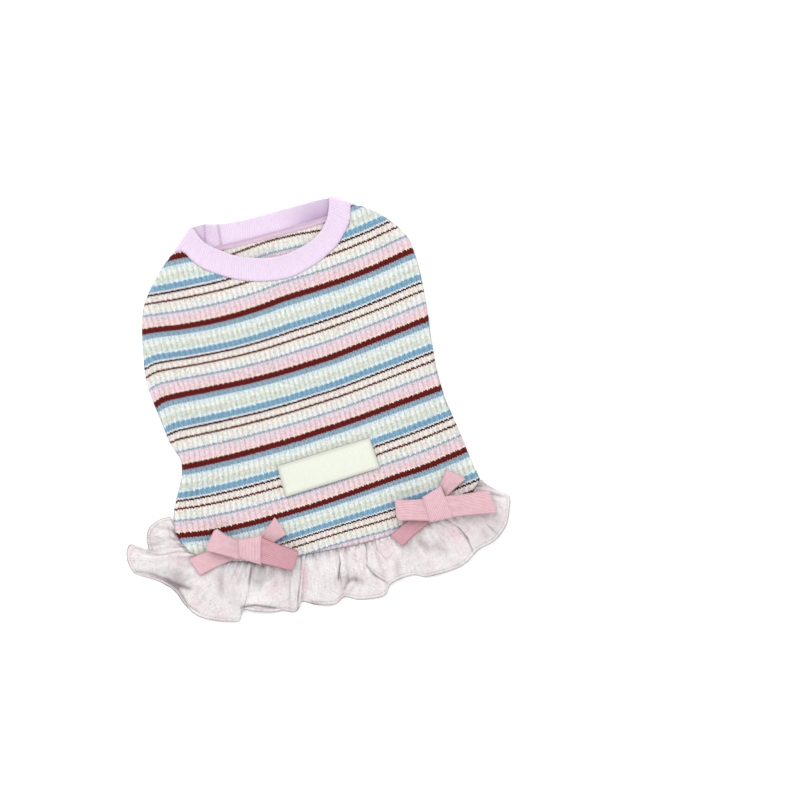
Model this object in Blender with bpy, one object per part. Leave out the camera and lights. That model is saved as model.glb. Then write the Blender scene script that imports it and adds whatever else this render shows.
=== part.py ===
"""A small dog's dress, laid flat on its belly: rib-knit body, neck band, hem ruffle, two bows and a label.

+Z is up, +Y runs to the neck and X runs along the stripes. The dress rests on z = 0. Sizes and tables
are in millimetres, and solid() turns them into metres.
"""

from typing import NamedTuple

import bmesh
import bpy
import numpy as np

MM = 0.001
SEAM_GAP = 0.3
# How far the straight edges of a grid stray from a curved seam.
CHORD = 0.25
# How many places along a curved line are worked out before any is looked up.
CURVE_SAMPLES = 1200

# The knit body: a tube folded flat, whose wall wraps from the back round each side fold.
KNIT = 1.2
RIB_PITCH = 3.25
RIB_COUNT = 66
RIB_RISE = 0.45
SIDE_WRAP = 12.0
SETTLE_REACH = 11.0
BACK_ROWS = 22
NECKWARD_ROWS = 0.5
BACK_LEFT_WALE = -109.6
HEM_TRIES = 12
# The ribs are full height on top and die away under the side folds, at this rate and from this start.
RIB_FADE_RATE = 1.2
RIB_FADE_START = 0.8
# The plain inside keeps fewer of the columns, and fewest over the flat middle.
PLAIN_MIDDLE = 50.0
PLAIN_STRIDE_MIDDLE = 4
PLAIN_STRIDE_SIDE = 2

# Leg holes, as notches in the belly panel's side edges.
LEG_HOLE_MIDDLE = 54.0
LEG_HOLE_LENGTH = 52.0
LEG_HOLE_WIDTH = 32.0
LEG_HOLE_FULLNESS = 0.7
BELLY_HEM = -52.0
BELLY_ROWS = 28
BELLY_COLUMNS = 6
BELLY_NECK_ENDS = (-42.0, 43.0)

BAND = 1.6
RUFFLE = 1.0
RIBBON = 1.0
LABEL = 1.0


def columns(names, rows):
    """A table's rows as {column name: array of its values}."""
    return dict(zip(names.split(), np.array(rows, float).T))


# The garment's edge from above, left and right, from the hem up to the neck.
OUTLINE = columns(
    "y left right",
    (
        (-104, -103.0, 91.5),
        (-80, -103.0, 90.8),
        (-66, -102.0, 89.0),
        (-50, -97.5, 86.8),
        (-38, -91.2, 85.2),
        (-26, -86.8, 84.2),
        (-8, -90.2, 83.8),
        (10, -92.8, 85.5),
        (28, -95.0, 87.5),
        (46, -92.2, 88.8),
        (64, -88.0, 88.5),
        (76, -83.0, 85.8),
        (88, -74.5, 78.0),
        (100, -62.2, 65.8),
        (106, -54.2, 56.5),
    ),
)

# How round the side folds are, the back layer's least height, and how far the ribs spread on each side.
SIDE = columns(
    "y radius middle spread_left spread_right",
    (
        (-104, 1.5, 1.7, 1.115, 1.050),
        (-76, 1.6, 1.7, 1.115, 1.050),
        (-62, 1.8, 2.0, 1.110, 1.040),
        (-50, 2.0, 2.5, 1.080, 1.030),
        (-38, 2.2, 2.6, 1.030, 1.010),
        (-24, 2.2, 2.6, 1.000, 1.000),
        (80, 2.2, 2.6, 1.000, 1.000),
        (106, 1.2, 2.8, 1.000, 1.000),
    ),
)

# Soft swells of the back layer: middle, reach each way, and rise.
SWELLS = (
    (-64, 24, 20, 52, 0.9),
    (-30, -34, 26, 20, 0.6),
    (28, 30, 22, 30, 0.6),
    (66, 8, 15, 55, 0.9),
    (6, -78, 40, 12, 0.5),
    (-66, -66, 16, 16, 0.6),
)

# The hem of the back panel, by the distance from x = 0 along the folded wall.
HEM = columns(
    "arc y",
    (
        (-125, -56.0),
        (-105, -56.6),
        (-102.5, -59.4),
        (-101, -62.4),
        (-99.6, -68.0),
        (-97.2, -75.5),
        (-92.5, -81.5),
        (-84, -86.5),
        (-75, -90.0),
        (-65, -93.0),
        (-55, -96.8),
        (-40, -98.2),
        (-15, -100.0),
        (10, -101.6),
        (40, -100.6),
        (58, -98.6),
        (70, -95.4),
        (80, -90.8),
        (86.5, -86.5),
        (90, -83.0),
        (93.5, -80.4),
        (115, -78.0),
    ),
)

# The neck band's back half from the left fold to the right one, and its belly half back again.
BAND_BACK = columns(
    "seam_x seam_y free_x free_y",
    (
        (-56.0, 104.2, -41.8, 116.4),
        (-51.5, 102.6, -40.0, 112.6),
        (-47.5, 96.4, -37.6, 106.6),
        (-43.0, 90.6, -33.6, 102.0),
        (-36.0, 85.0, -28.6, 98.0),
        (-26.0, 78.8, -20.6, 92.4),
        (-13.0, 73.4, -10.0, 88.0),
        (0.0, 70.6, 1.0, 85.2),
        (10.0, 70.0, 10.0, 84.8),
        (21.0, 72.2, 20.0, 86.4),
        (33.0, 76.4, 30.0, 89.8),
        (43.0, 82.0, 37.4, 95.2),
        (50.0, 88.8, 41.6, 100.8),
        (54.8, 95.0, 44.0, 106.4),
        (58.0, 104.2, 45.6, 112.0),
    ),
)
BAND_BELLY = columns(
    "seam_x seam_y free_x free_y",
    (
        (58.0, 104.2, 45.6, 112.0),
        (49.0, 101.2, 39.0, 112.5),
        (36.0, 100.0, 29.0, 112.5),
        (12.0, 99.6, 11.0, 112.5),
        (-12.0, 99.6, -11.0, 112.6),
        (-32.0, 100.2, -26.0, 114.2),
        (-46.0, 101.4, -35.0, 116.4),
        (-56.0, 104.2, -41.8, 116.4),
    ),
)
BAND_SEAM_RADIUS = 1.15
BAND_FREE_RADIUS = 1.4
BAND_STEPS_BACK = 60
BAND_STEPS_BELLY = 12
BAND_STEPS_FOLD = 4
BAND_ROWS = 4
FOLD_SLANT = 0.8

# The ruffle's folds: how far along the hem each starts, where its edge lies, and its heights.
FOLDS = columns(
    "along edge_x edge_y middle_z edge_z",
    (
        (0.0, -101.6, -54.6, 1.5, 1.0),
        (3.0, -108.0, -54.6, 2.4, 1.6),
        (6.0, -115.5, -57.6, 4.2, 4.6),
        (9.0, -119.2, -63.6, 4.6, 3.4),
        (12.0, -121.0, -70.2, 2.0, 1.0),
        (15.0, -127.0, -66.6, 3.4, 3.8),
        (18.0, -130.6, -64.8, 5.2, 6.4),
        (21.5, -133.8, -72.0, 5.6, 5.2),
        (25.0, -132.6, -82.0, 5.0, 2.6),
        (28.5, -125.6, -87.4, 4.6, 1.0),
        (31.5, -117.6, -93.0, 4.4, 0.8),
        (35.0, -110.6, -101.0, 4.4, 0.8),
        (39.0, -107.0, -110.6, 4.0, 1.0),
        (44.0, -100.6, -119.2, 3.2, 2.0),
        (50.0, -91.0, -124.4, 3.0, 3.2),
        (56.0, -82.6, -127.4, 3.0, 2.0),
        (61.0, -76.6, -128.4, 4.4, 4.6),
        (64.5, -73.6, -124.0, 3.0, 2.2),
        (69.0, -64.6, -125.6, 3.4, 5.6),
        (74.5, -55.6, -128.6, 3.0, 3.2),
        (80.0, -48.6, -129.8, 2.6, 1.0),
        (87.0, -42.0, -132.0, 4.0, 4.0),
        (92.0, -38.2, -129.6, 4.4, 5.6),
        (95.0, -35.8, -127.0, 2.0, 1.2),
        (100.0, -28.4, -131.0, 2.4, 2.2),
        (108.0, -17.0, -133.8, 3.8, 4.2),
        (115.0, -9.6, -131.2, 4.6, 1.4),
        (121.0, -1.6, -135.0, 2.4, 0.8),
        (129.0, 8.0, -136.8, 3.6, 1.6),
        (135.0, 15.6, -136.2, 4.6, 4.6),
        (139.0, 19.6, -131.4, 2.6, 3.0),
        (145.0, 27.0, -129.2, 3.2, 4.2),
        (151.0, 35.6, -129.2, 2.2, 1.2),
        (157.0, 43.0, -132.2, 2.4, 2.0),
        (165.0, 53.0, -132.4, 3.8, 4.4),
        (173.0, 62.6, -132.2, 2.6, 1.4),
        (180.0, 70.6, -129.4, 3.8, 4.4),
        (185.0, 76.4, -125.4, 4.2, 5.0),
        (189.0, 82.0, -123.6, 2.0, 1.0),
        (196.0, 91.0, -121.0, 3.0, 3.4),
        (203.0, 99.6, -114.0, 2.4, 1.6),
        (209.0, 104.0, -105.0, 3.2, 3.4),
        (214.0, 106.0, -97.2, 3.0, 2.6),
        (219.0, 101.0, -93.2, 1.6, 1.0),
    ),
)
RUFFLE_ENDS = (-100.9, 90.6)
RUFFLE_MIDDLE = 0.5
END_CLEARANCE = 0.7
END_REACH = 6.0
RUFFLE_ROWS = 7
STEPS_PER_FOLD = 3
PUCKER_PITCH = 6.4
PUCKER_RISE = 0.35
# Brings the puckers' course from the seam to the edge, x (1 - x) squared, up to about 1.
PUCKER_SCALE = 6.0

LABEL_CORNERS = columns(
    "x y",
    (
        (-29.0, -61.6),
        (33.0, -59.2),
        (31.5, -39.0),
        (-29.0, -41.2),
    ),
)
LABEL_ROWS = 4
LABEL_COLUMNS = 12


class Ribbon(NamedTuple):
    """A loop or tail: the ends of its root and of its far edge, their heights, and the loop's height."""

    name: str
    root: tuple
    far: tuple
    root_z: float
    far_z: float
    loop: float


class Knot(NamedTuple):
    """A bow's knot: its corners, from the upper left round to the lower left, and its heights."""

    name: str
    corners: tuple
    low: float
    high: float


RIBBONS = (
    Ribbon(
        "bow_left_tail_a",
        root=((-66.6, -78.8), (-69.2, -90.4)),
        far=((-97.2, -82.6), (-92.8, -94.8)),
        root_z=4.4,
        far_z=5.6,
        loop=0,
    ),
    Ribbon(
        "bow_left_tail_b",
        root=((-49.0, -79.4), (-51.4, -90.0)),
        far=((-38.4, -71.4), (-34.2, -84.2)),
        root_z=4.2,
        far_z=4.2,
        loop=0,
    ),
    Ribbon(
        "bow_left_loop_a",
        root=((-64.9, -80.0), (-67.3, -90.6)),
        far=((-75.2, -69.4), (-85.0, -80.6)),
        root_z=6.2,
        far_z=6.9,
        loop=2.2,
    ),
    Ribbon(
        "bow_left_loop_b",
        root=((-48.9, -81.8), (-53.2, -97.6)),
        far=((-29.8, -95.0), (-36.0, -106.2)),
        root_z=5.8,
        far_z=6.6,
        loop=2.2,
    ),
    Ribbon(
        "bow_right_tail_a",
        root=((52.4, -89.0), (54.6, -99.4)),
        far=((28.0, -101.2), (33.4, -109.8)),
        root_z=4.6,
        far_z=5.2,
        loop=0,
    ),
    Ribbon(
        "bow_right_tail_b",
        root=((66.8, -77.6), (68.4, -87.0)),
        far=((72.4, -70.2), (83.0, -79.6)),
        root_z=4.4,
        far_z=5.2,
        loop=0,
    ),
    Ribbon(
        "bow_right_loop_a",
        root=((52.4, -84.2), (53.2, -98.4)),
        far=((36.8, -80.0), (34.6, -93.4)),
        root_z=6.2,
        far_z=6.6,
        loop=2.2,
    ),
    Ribbon(
        "bow_right_loop_b",
        root=((67.4, -86.4), (69.4, -100.2)),
        far=((92.4, -89.6), (95.2, -105.2)),
        root_z=5.8,
        far_z=6.8,
        loop=2.2,
    ),
)
KNOTS = (
    Knot(
        "bow_left_knot",
        corners=((-64.2, -79.4), (-49.4, -80.4), (-53.8, -98.2), (-66.8, -91.2)),
        low=3.8,
        high=10.0,
    ),
    Knot(
        "bow_right_knot",
        corners=((53.0, -83.6), (66.2, -79.4), (68.8, -100.6), (53.8, -99.8)),
        low=3.8,
        high=10.0,
    ),
)
LOOP_PUFF = 1.4
LOOP_TURN_STEPS = 6
RIBBON_STEPS = 8
RIBBON_COLUMNS = 4
KNOT_STEPS = 7
KNOT_EDGE = 0.35

# Colours as seen: striped knit (its overall tone), lilac rib, pale woven cloth, dusty ribbon, off-white.
COLOURS = {
    "rib_knit": (0.62, 0.58, 0.58),
    "neck_rib": (0.86, 0.72, 0.88),
    "ruffle_cloth": (0.90, 0.83, 0.86),
    "grosgrain_ribbon": (0.84, 0.52, 0.58),
    "label_cloth": (0.91, 0.92, 0.84),
}
FABRIC_ROUGHNESS = 0.9


def clear_scene():
    """Removes whatever the opened scene holds."""
    for item in list(bpy.data.objects):
        bpy.data.objects.remove(item, do_unlink=True)


def fabric(name):
    """The cloth's material, made once and shared."""
    found = bpy.data.materials.get(name)
    if found:
        return found
    material = bpy.data.materials.new(name)
    material.use_nodes = True
    shader = material.node_tree.nodes["Principled BSDF"]
    shader.inputs["Base Color"].default_value = (*COLOURS[name], 1)
    shader.inputs["Roughness"].default_value = FABRIC_ROUGHNESS
    shader.inputs["Metallic"].default_value = 0
    return material


def smooth(at, knots, values):
    """A smooth curve through the values at the knots: cubic pieces that share their slope at each knot."""
    at = np.clip(at, knots[0], knots[-1])
    slopes = np.gradient(values, knots, axis=0)
    start = np.clip(np.searchsorted(knots, at, side="right") - 1, 0, len(knots) - 2)
    span = knots[start + 1] - knots[start]
    t = (at - knots[start]) / span
    if values.ndim > 1:
        t, span = t[..., None], span[..., None]
    rise = values[start + 1] - values[start]
    bend = (span * slopes[start] - rise) * (1 - t) + (rise - span * slopes[start + 1]) * t
    return values[start] + rise * t + t * (1 - t) * bend


def lerp(a, b, t):
    """A straight mix of a and b."""
    return a + (b - a) * t


def grid_faces(index, closed):
    """Quads over a grid of vertex numbers."""
    following = np.roll(index, -1, axis=1) if closed else index[:, 1:]
    first = index if closed else index[:, :-1]
    corners = (first[:-1], following[:-1], following[1:], first[1:])
    return np.stack(corners, axis=-1).reshape(-1, 4).tolist()


def rim_faces(outer, inner, kept):
    """Triangles between an edge of the outer grid and one of the inner grid, which keeps some columns."""
    faces = []
    for k, (start, end) in enumerate(zip(kept[:-1], kept[1:])):
        middle = (start + end + 1) // 2
        faces += [(inner[k], outer[j], outer[j + 1]) for j in range(start, middle)]
        faces.append((inner[k], outer[middle], inner[k + 1]))
        faces += [(inner[k + 1], outer[j], outer[j + 1]) for j in range(middle, end)]
    return faces


def solid(name, points, faces, cloth):
    """One closed mesh object, its faces turned outwards."""
    mesh = bpy.data.meshes.new(name)
    mesh.from_pydata((points * MM).tolist(), [], faces)
    shaped = bmesh.new()
    shaped.from_mesh(mesh)
    bmesh.ops.recalc_face_normals(shaped, faces=shaped.faces)
    shaped.to_mesh(mesh)
    shaped.free()
    mesh.shade_smooth()
    item = bpy.data.objects.new(name, mesh)
    bpy.context.scene.collection.objects.link(item)
    item.data.materials.append(fabric(cloth))
    return item


def wall(name, outer, inner, cloth, closed=False, kept=None):
    """A closed wall between two grids of points, of which the inner one may keep only some columns."""
    rows, across = outer.shape[:2]
    kept = list(range(across)) if kept is None else kept
    outside = np.arange(rows * across).reshape(rows, across)
    inside = outer.shape[0] * across + np.arange(rows * len(kept)).reshape(rows, len(kept))
    faces = grid_faces(outside, closed) + grid_faces(inside, closed)
    if closed:
        for row in (0, -1):
            edges = np.stack([outside[row], inside[row]])
            faces += grid_faces(edges, True)
    else:
        for row in (0, -1):
            faces += rim_faces(outside[row].tolist(), inside[row].tolist(), kept)
        for column in (0, -1):
            edges = np.stack([outside[:, column], inside[:, column]])
            faces += grid_faces(edges, False)
    points = np.concatenate([outer.reshape(-1, 3), inner.reshape(-1, 3)])
    return solid(name, points, faces, cloth)


def grid_normals(points, closed=False):
    """Unit normals of a grid of points."""
    down = np.gradient(points, axis=0)
    if closed:
        along = np.roll(points, -1, axis=1) - np.roll(points, 1, axis=1)
    else:
        along = np.gradient(points, axis=1)
    normal = np.cross(along, down)
    return normal / np.linalg.norm(normal, axis=2, keepdims=True)


def sheet(name, middle, thickness, cloth, closed=False):
    """A wall of even thickness about a grid of middle points."""
    half = grid_normals(middle, closed) * thickness / 2
    return wall(name, middle + half, middle - half, cloth, closed)


def swell(x, y):
    """How far the soft swells lift the back layer."""
    lift = np.zeros(np.broadcast(x, y).shape)
    for at_x, at_y, reach_x, reach_y, rise in SWELLS:
        lift = lift + rise * np.exp(-(((x - at_x) / reach_x) ** 2) - ((y - at_y) / reach_y) ** 2)
    return lift


def fold_start(y, side):
    """How far from x = 0 the side fold begins, and the fold's radius, both along the wall's middle."""
    left = -smooth(y, OUTLINE["y"], OUTLINE["left"])
    right = smooth(y, OUTLINE["y"], OUTLINE["right"])
    radius = smooth(y, SIDE["y"], SIDE["radius"])
    return np.where(side < 0, left, right) - KNIT / 2 - radius, radius


def spread(y, side):
    """How far apart the ribs lie, as a share of their pitch at rest."""
    left = smooth(y, SIDE["y"], SIDE["spread_left"])
    right = smooth(y, SIDE["y"], SIDE["spread_right"])
    return np.where(side < 0, left, right)


def knit(arc, y):
    """The body wall's middle and outward way, by distance along the folded wall and place along y."""
    side = np.where(arc < 0, -1.0, 1.0)
    start, radius = fold_start(y, side)
    past = np.abs(arc) - start
    angle = np.clip(past / radius, 0, np.pi)
    under = np.maximum(past - np.pi * radius, 0)
    x = side * (np.minimum(np.abs(arc), start) + radius * np.sin(angle) - under)
    fold_top = KNIT / 2 + 2 * radius
    settled = 1 - np.exp(-((np.maximum(-past, 0) / SETTLE_REACH) ** 2))
    rest = smooth(y, SIDE["y"], SIDE["middle"]) + swell(x, y)
    z = KNIT / 2 + radius * (1 + np.cos(angle)) + (rest - fold_top) * settled
    middle = np.stack(np.broadcast_arrays(x, y, z), axis=-1)
    out = np.stack([side * np.sin(angle), np.zeros_like(angle), np.cos(angle)], axis=-1)
    return middle, out


def wrap_end(y, side):
    """How far along the folded wall the back panel's least reach under a side fold ends."""
    start, radius = fold_start(y, side)
    return start + np.pi * radius + SIDE_WRAP


def seam_clearance(curve_y, x):
    """How far along y a piece stops short of a seam, so that it lies SEAM_GAP from it."""
    return (SEAM_GAP + CHORD) * np.sqrt(1 + np.gradient(curve_y, x) ** 2)


def neck_seam(x, half):
    """The neck band's seam edge at x, on its back or belly half, and a knit panel's edge beside it."""
    order = np.argsort(half["seam_x"])
    fine = np.linspace(half["seam_x"].min(), half["seam_x"].max(), CURVE_SAMPLES)
    curve = smooth(fine, half["seam_x"][order], half["seam_y"][order])
    return np.interp(x, fine, curve - seam_clearance(curve, fine))


def side_seam(y, side):
    """The wale of the side seam: SIDE_WRAP past the fold, and never nearer the middle further down."""
    rows = np.linspace(OUTLINE["y"][-1], OUTLINE["y"][0], CURVE_SAMPLES)
    sides = side * np.ones_like(rows)
    ends = np.maximum.accumulate(wrap_end(rows, sides) / spread(rows, sides))
    return np.interp(-y, -rows, ends)


def back_top(wale):
    """Where each wale of the back panel ends: at the neck, or where the belly panel's seam crosses it."""
    side = np.where(wale < 0, -1.0, 1.0)
    crown = BAND_BACK["seam_y"].max() * np.ones_like(wale)
    x = knit(wale, crown)[0][..., 0]
    start, radius = fold_start(crown, side)
    on_top = np.abs(wale) < start + radius * np.pi / 2
    top = np.where(on_top, neck_seam(x, BAND_BACK), neck_seam(x, BAND_BELLY))
    rows = np.linspace(OUTLINE["y"][-1], LEG_HOLE_MIDDLE - LEG_HOLE_LENGTH, CURVE_SAMPLES)
    for sign in (-1.0, 1.0):
        cut = np.interp(np.abs(wale), side_seam(rows, sign), rows)
        top = np.where(side == sign, np.minimum(top, cut), top)
    return top


def hem_of(wale):
    """Where each wale meets the hem, found by repeating the step from its place to the hem there."""
    side = np.where(wale < 0, -1.0, 1.0)
    y = HEM["y"].min() * np.ones_like(wale)
    for _ in range(HEM_TRIES):
        y = smooth(wale * spread(y, side), HEM["arc"], HEM["y"])
    return y


def back_wales():
    """The back panel's columns: a valley and a crest of each rib in turn."""
    return BACK_LEFT_WALE + np.arange(2 * RIB_COUNT + 1) * RIB_PITCH / 2


def back_panel():
    """The ribbed back panel: from the hem up to the neck, wrapped round both side folds."""
    wale = back_wales()
    step = np.linspace(0, 1, BACK_ROWS + 1)[:, None]
    share = lerp(step, 1 - (1 - step) ** 2, NECKWARD_ROWS)
    y = lerp(hem_of(wale), back_top(wale), share)
    wales = np.broadcast_to(wale, y.shape)
    middle, out = knit(wales * spread(y, wales), y)
    crest = (np.arange(len(wale)) % 2) * np.clip(out[..., 2] * RIB_FADE_RATE + RIB_FADE_START, 0, 1)
    outer = middle + out * (KNIT / 2 + RIB_RISE * crest)[..., None]
    inner = middle - out * KNIT / 2
    kept = [0]
    while kept[-1] < len(wale) - 1:
        stride = PLAIN_STRIDE_MIDDLE if abs(wale[kept[-1]]) < PLAIN_MIDDLE else PLAIN_STRIDE_SIDE
        kept.append(min(kept[-1] + stride, len(wale) - 1))
    return wall("back_panel", outer, inner[:, kept], "rib_knit", kept=kept)


def belly_edge(y, side):
    """The belly panel's side edge: beside the back panel's seam edge, and notched at the leg hole."""
    start, radius = fold_start(y, side)
    last = np.abs(back_wales()[0 if side < 0 else -1])
    reach = np.minimum(side_seam(y, side), last) * spread(y, side) - start - np.pi * radius
    off = np.clip(np.abs(y - LEG_HOLE_MIDDLE) / (LEG_HOLE_LENGTH / 2), 0, 1)
    notch = LEG_HOLE_WIDTH * (1 - off**2) ** LEG_HOLE_FULLNESS
    return side * (start - reach - SEAM_GAP - CHORD - notch)


def belly_panel():
    """The belly panel: flat underneath, from its plain hem up to the neck, with its leg holes."""
    u = np.linspace(0, 1, BELLY_COLUMNS + 1)[None, :]
    v = np.linspace(0, 1, BELLY_ROWS + 1)[:, None]
    top = neck_seam(lerp(*BELLY_NECK_ENDS, u), BAND_BELLY)
    y = lerp(BELLY_HEM + 0 * u, top, v)
    x = lerp(belly_edge(y, -1.0), belly_edge(y, 1.0), u)
    low = np.stack([x, y, np.zeros_like(x)], axis=-1)
    high = low + np.array([0, 0, KNIT])
    return wall("belly_panel", high, low, "rib_knit")


def band_line(t):
    """The neck band's middle, once round, at the share t of the way from its seam to its free edge."""
    radius = lerp(BAND_SEAM_RADIUS, BAND_FREE_RADIUS, t)
    lines = []
    for half, steps in ((BAND_BACK, BAND_STEPS_BACK), (BAND_BELLY, BAND_STEPS_BELLY)):
        x = lerp(half["seam_x"], half["free_x"], t)
        y = lerp(half["seam_y"], half["free_y"], t)
        length = np.concatenate([[0], np.cumsum(np.hypot(np.diff(x), np.diff(y)))])
        at = np.linspace(0, length[-1], steps)
        lines.append(np.stack([smooth(at, length, x), smooth(at, length, y)], axis=-1))
    back, belly = lines
    low = BAND / 2
    turn = np.linspace(0, np.pi, BAND_STEPS_FOLD + 2)[1:-1, None]
    folds = []
    for end in (back[-1], back[0]):
        outward = np.array([np.sign(end[0]), FOLD_SLANT])
        outward = outward / np.linalg.norm(outward)
        fold = np.hstack([end + outward * radius * np.sin(turn), low + radius * (1 + np.cos(turn))])
        folds.append(fold)
    high_half = np.hstack([back, np.full((len(back), 1), low + 2 * radius)])
    low_half = np.hstack([belly, np.full((len(belly), 1), low)])
    return np.concatenate([high_half, folds[0], low_half, folds[1][::-1]])


def neck_band():
    """The band round the neck: one wall, folded flat at both sides."""
    share = np.linspace(0, 1, BAND_ROWS + 1)
    middle = np.stack([band_line(t) for t in share])
    return sheet("neck_band", middle, BAND, "neck_rib", closed=True)


def hem_line(count):
    """Points on the back panel's hem between the side folds, how far along it each is, and outward ways."""
    arc = np.linspace(*RUFFLE_ENDS, count)
    points = knit(arc, smooth(arc, HEM["arc"], HEM["y"]))[0]
    steps = np.linalg.norm(np.diff(points, axis=0), axis=1)
    along = np.concatenate([[0], np.cumsum(steps)])
    ahead = np.gradient(points[:, :2], axis=0)
    ahead = ahead / np.linalg.norm(ahead, axis=1, keepdims=True)
    outward = np.stack([ahead[:, 1], -ahead[:, 0]], axis=-1)
    return points, along * FOLDS["along"][-1] / along[-1], outward


def hem_ruffle():
    """The gathered ruffle: straight lines in plan from the hem to the folded edge, in smooth waves."""
    points, along, outward = hem_line(CURVE_SAMPLES)
    ends = np.arange(len(FOLDS["along"]))
    at = np.linspace(0, ends[-1], STEPS_PER_FOLD * ends[-1] + 1)
    folds = {name: smooth(at, ends.astype(float), values) for name, values in FOLDS.items()}
    seam = np.stack([np.interp(folds["along"], along, points[:, i]) for i in range(3)], axis=-1)
    away = np.stack([np.interp(folds["along"], along, outward[:, i]) for i in range(2)], axis=-1)
    start = seam.copy()
    from_end = np.minimum(folds["along"], FOLDS["along"][-1] - folds["along"])
    clear = SEAM_GAP + RUFFLE / 2 + END_CLEARANCE * np.exp(-from_end / END_REACH)
    start[:, :2] += away * clear[:, None]
    edge = np.stack([folds["edge_x"], folds["edge_y"], folds["edge_z"]], axis=-1)
    share = np.linspace(0, 1, RUFFLE_ROWS + 1)[:, None, None]
    middle = lerp(start, edge, share)
    bow = share[..., 0]
    rise = folds["middle_z"] - lerp(start[:, 2], folds["edge_z"], RUFFLE_MIDDLE)
    pucker = np.sin(2 * np.pi * folds["along"] / PUCKER_PITCH) * bow * (1 - bow) ** 2 * PUCKER_SCALE
    middle[..., 2] += 4 * rise * bow * (1 - bow) + PUCKER_RISE * pucker
    middle[..., 2] = np.maximum(middle[..., 2], RUFFLE / 2)
    item = sheet("hem_ruffle", middle[::-1], RUFFLE, "ruffle_cloth")
    for vertex in item.data.vertices:
        vertex.co.z = max(vertex.co.z, 0.0)
    return item


def label():
    """The label: four corners mixed across and up, just clear of the ribs under it."""
    x, y = LABEL_CORNERS["x"], LABEL_CORNERS["y"]
    u = np.linspace(0, 1, LABEL_COLUMNS + 1)[None, :]
    v = np.linspace(0, 1, LABEL_ROWS + 1)[:, None]
    at_x = lerp(lerp(x[0], x[1], u), lerp(x[3], x[2], u), v)
    at_y = lerp(lerp(y[0], y[1], u), lerp(y[3], y[2], u), v)
    under = knit(at_x, at_y)[0][..., 2] + KNIT / 2 + RIB_RISE + SEAM_GAP
    low = np.stack([at_x, at_y, under], axis=-1)
    return wall("label", low + np.array([0, 0, LABEL]), low, "label_cloth")


def ribbon_path(piece):
    """How far out along the ribbon and how high each step of a tail or a loop's middle lies."""
    run = np.linspace(0, 1, RIBBON_STEPS)
    low = lerp(piece.root_z, piece.far_z, run)
    if not piece.loop:
        return run, low
    length = np.linalg.norm(np.subtract(np.mean(piece.far, axis=0), np.mean(piece.root, axis=0)))
    radius = piece.loop / 2
    reach = 1 - radius / length
    turn = np.linspace(0, np.pi, LOOP_TURN_STEPS)[1:-1]
    round_out = reach + radius / length * np.sin(turn)
    round_z = piece.far_z + radius * (1 - np.cos(turn))
    back = low + piece.loop + LOOP_PUFF * np.sin(np.pi * run)
    out = np.concatenate([run * reach, round_out, (run * reach)[::-1]])
    return out, np.concatenate([low, round_z, back[::-1]])


def ribbon(piece):
    """A tail or a loop: straight lines across, carried along its path."""
    out, z = ribbon_path(piece)
    across = np.linspace(0, 1, RIBBON_COLUMNS)[None, :, None]
    root = lerp(np.array(piece.root[0]), np.array(piece.root[1]), across)
    far = lerp(np.array(piece.far[0]), np.array(piece.far[1]), across)
    plan = lerp(root, far, out[:, None, None])
    middle = np.concatenate([plan, np.broadcast_to(z[:, None, None], (*plan.shape[:2], 1))], axis=-1)
    return sheet(piece.name, middle, RIBBON, "grosgrain_ribbon")


def knot(piece):
    """A knot: a four-cornered pad, domed above and below."""
    u = np.linspace(-1, 1, KNOT_STEPS)[None, :]
    v = np.linspace(-1, 1, KNOT_STEPS)[:, None]
    a, b, c, d = (np.array(corner) for corner in piece.corners)
    s, t = (u[..., None] + 1) / 2, (v[..., None] + 1) / 2
    plan = lerp(lerp(d, c, s), lerp(a, b, s), t)
    dome = np.sqrt(np.clip((1 - u**4) * (1 - v**4), 0, 1))
    middle = (piece.low + piece.high) / 2
    half = (piece.high - piece.low) / 2
    rise = lerp(KNOT_EDGE * half, half, dome)
    high = np.concatenate([plan, (middle + rise)[..., None]], axis=-1)
    low = np.concatenate([plan, (middle - rise)[..., None]], axis=-1)
    return wall(piece.name, high, low, "grosgrain_ribbon")


def main():
    clear_scene()
    back_panel()
    belly_panel()
    neck_band()
    hem_ruffle()
    label()
    for piece in RIBBONS:
        ribbon(piece)
    for piece in KNOTS:
        knot(piece)


main()
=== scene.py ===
"""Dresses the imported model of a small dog's dress in its real cloth: striped rib knit, a lilac neck band, a
gathered ruffle, ribbon bows and a bare label, laid on a pale table under soft light."""

import bmesh
import bpy
import numpy as np
from mathutils import Matrix, Vector


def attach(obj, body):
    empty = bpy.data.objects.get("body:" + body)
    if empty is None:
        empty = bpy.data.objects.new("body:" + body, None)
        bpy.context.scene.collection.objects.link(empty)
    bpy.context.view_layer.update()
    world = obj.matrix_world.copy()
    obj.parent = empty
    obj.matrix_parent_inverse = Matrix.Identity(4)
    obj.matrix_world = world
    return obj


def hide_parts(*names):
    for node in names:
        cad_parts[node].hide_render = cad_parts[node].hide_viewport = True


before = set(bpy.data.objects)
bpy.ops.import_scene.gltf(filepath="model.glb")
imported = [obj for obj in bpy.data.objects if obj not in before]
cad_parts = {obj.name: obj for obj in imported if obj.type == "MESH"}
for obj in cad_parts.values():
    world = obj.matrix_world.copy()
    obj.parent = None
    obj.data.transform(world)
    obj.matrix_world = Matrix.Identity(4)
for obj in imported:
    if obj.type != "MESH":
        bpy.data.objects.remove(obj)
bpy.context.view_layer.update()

bl_info = {
    "name": "Dog Dress",
    "version": (1, 0, 0),
    "blender": (4, 5, 0),
    "location": "3D View > Sidebar > Dog Dress",
    "description": "Makes a small dog's striped rib-knit dress, laid flat",
    "category": "Add Mesh",
}

MM = 0.001
PER_MM = 1 / MM  # over a size in millimetres, the scale of a noise with grains of that size
BODY = "root"

# ---------------------------------------------------------------- sizes, in millimetres, as in the solids

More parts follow.
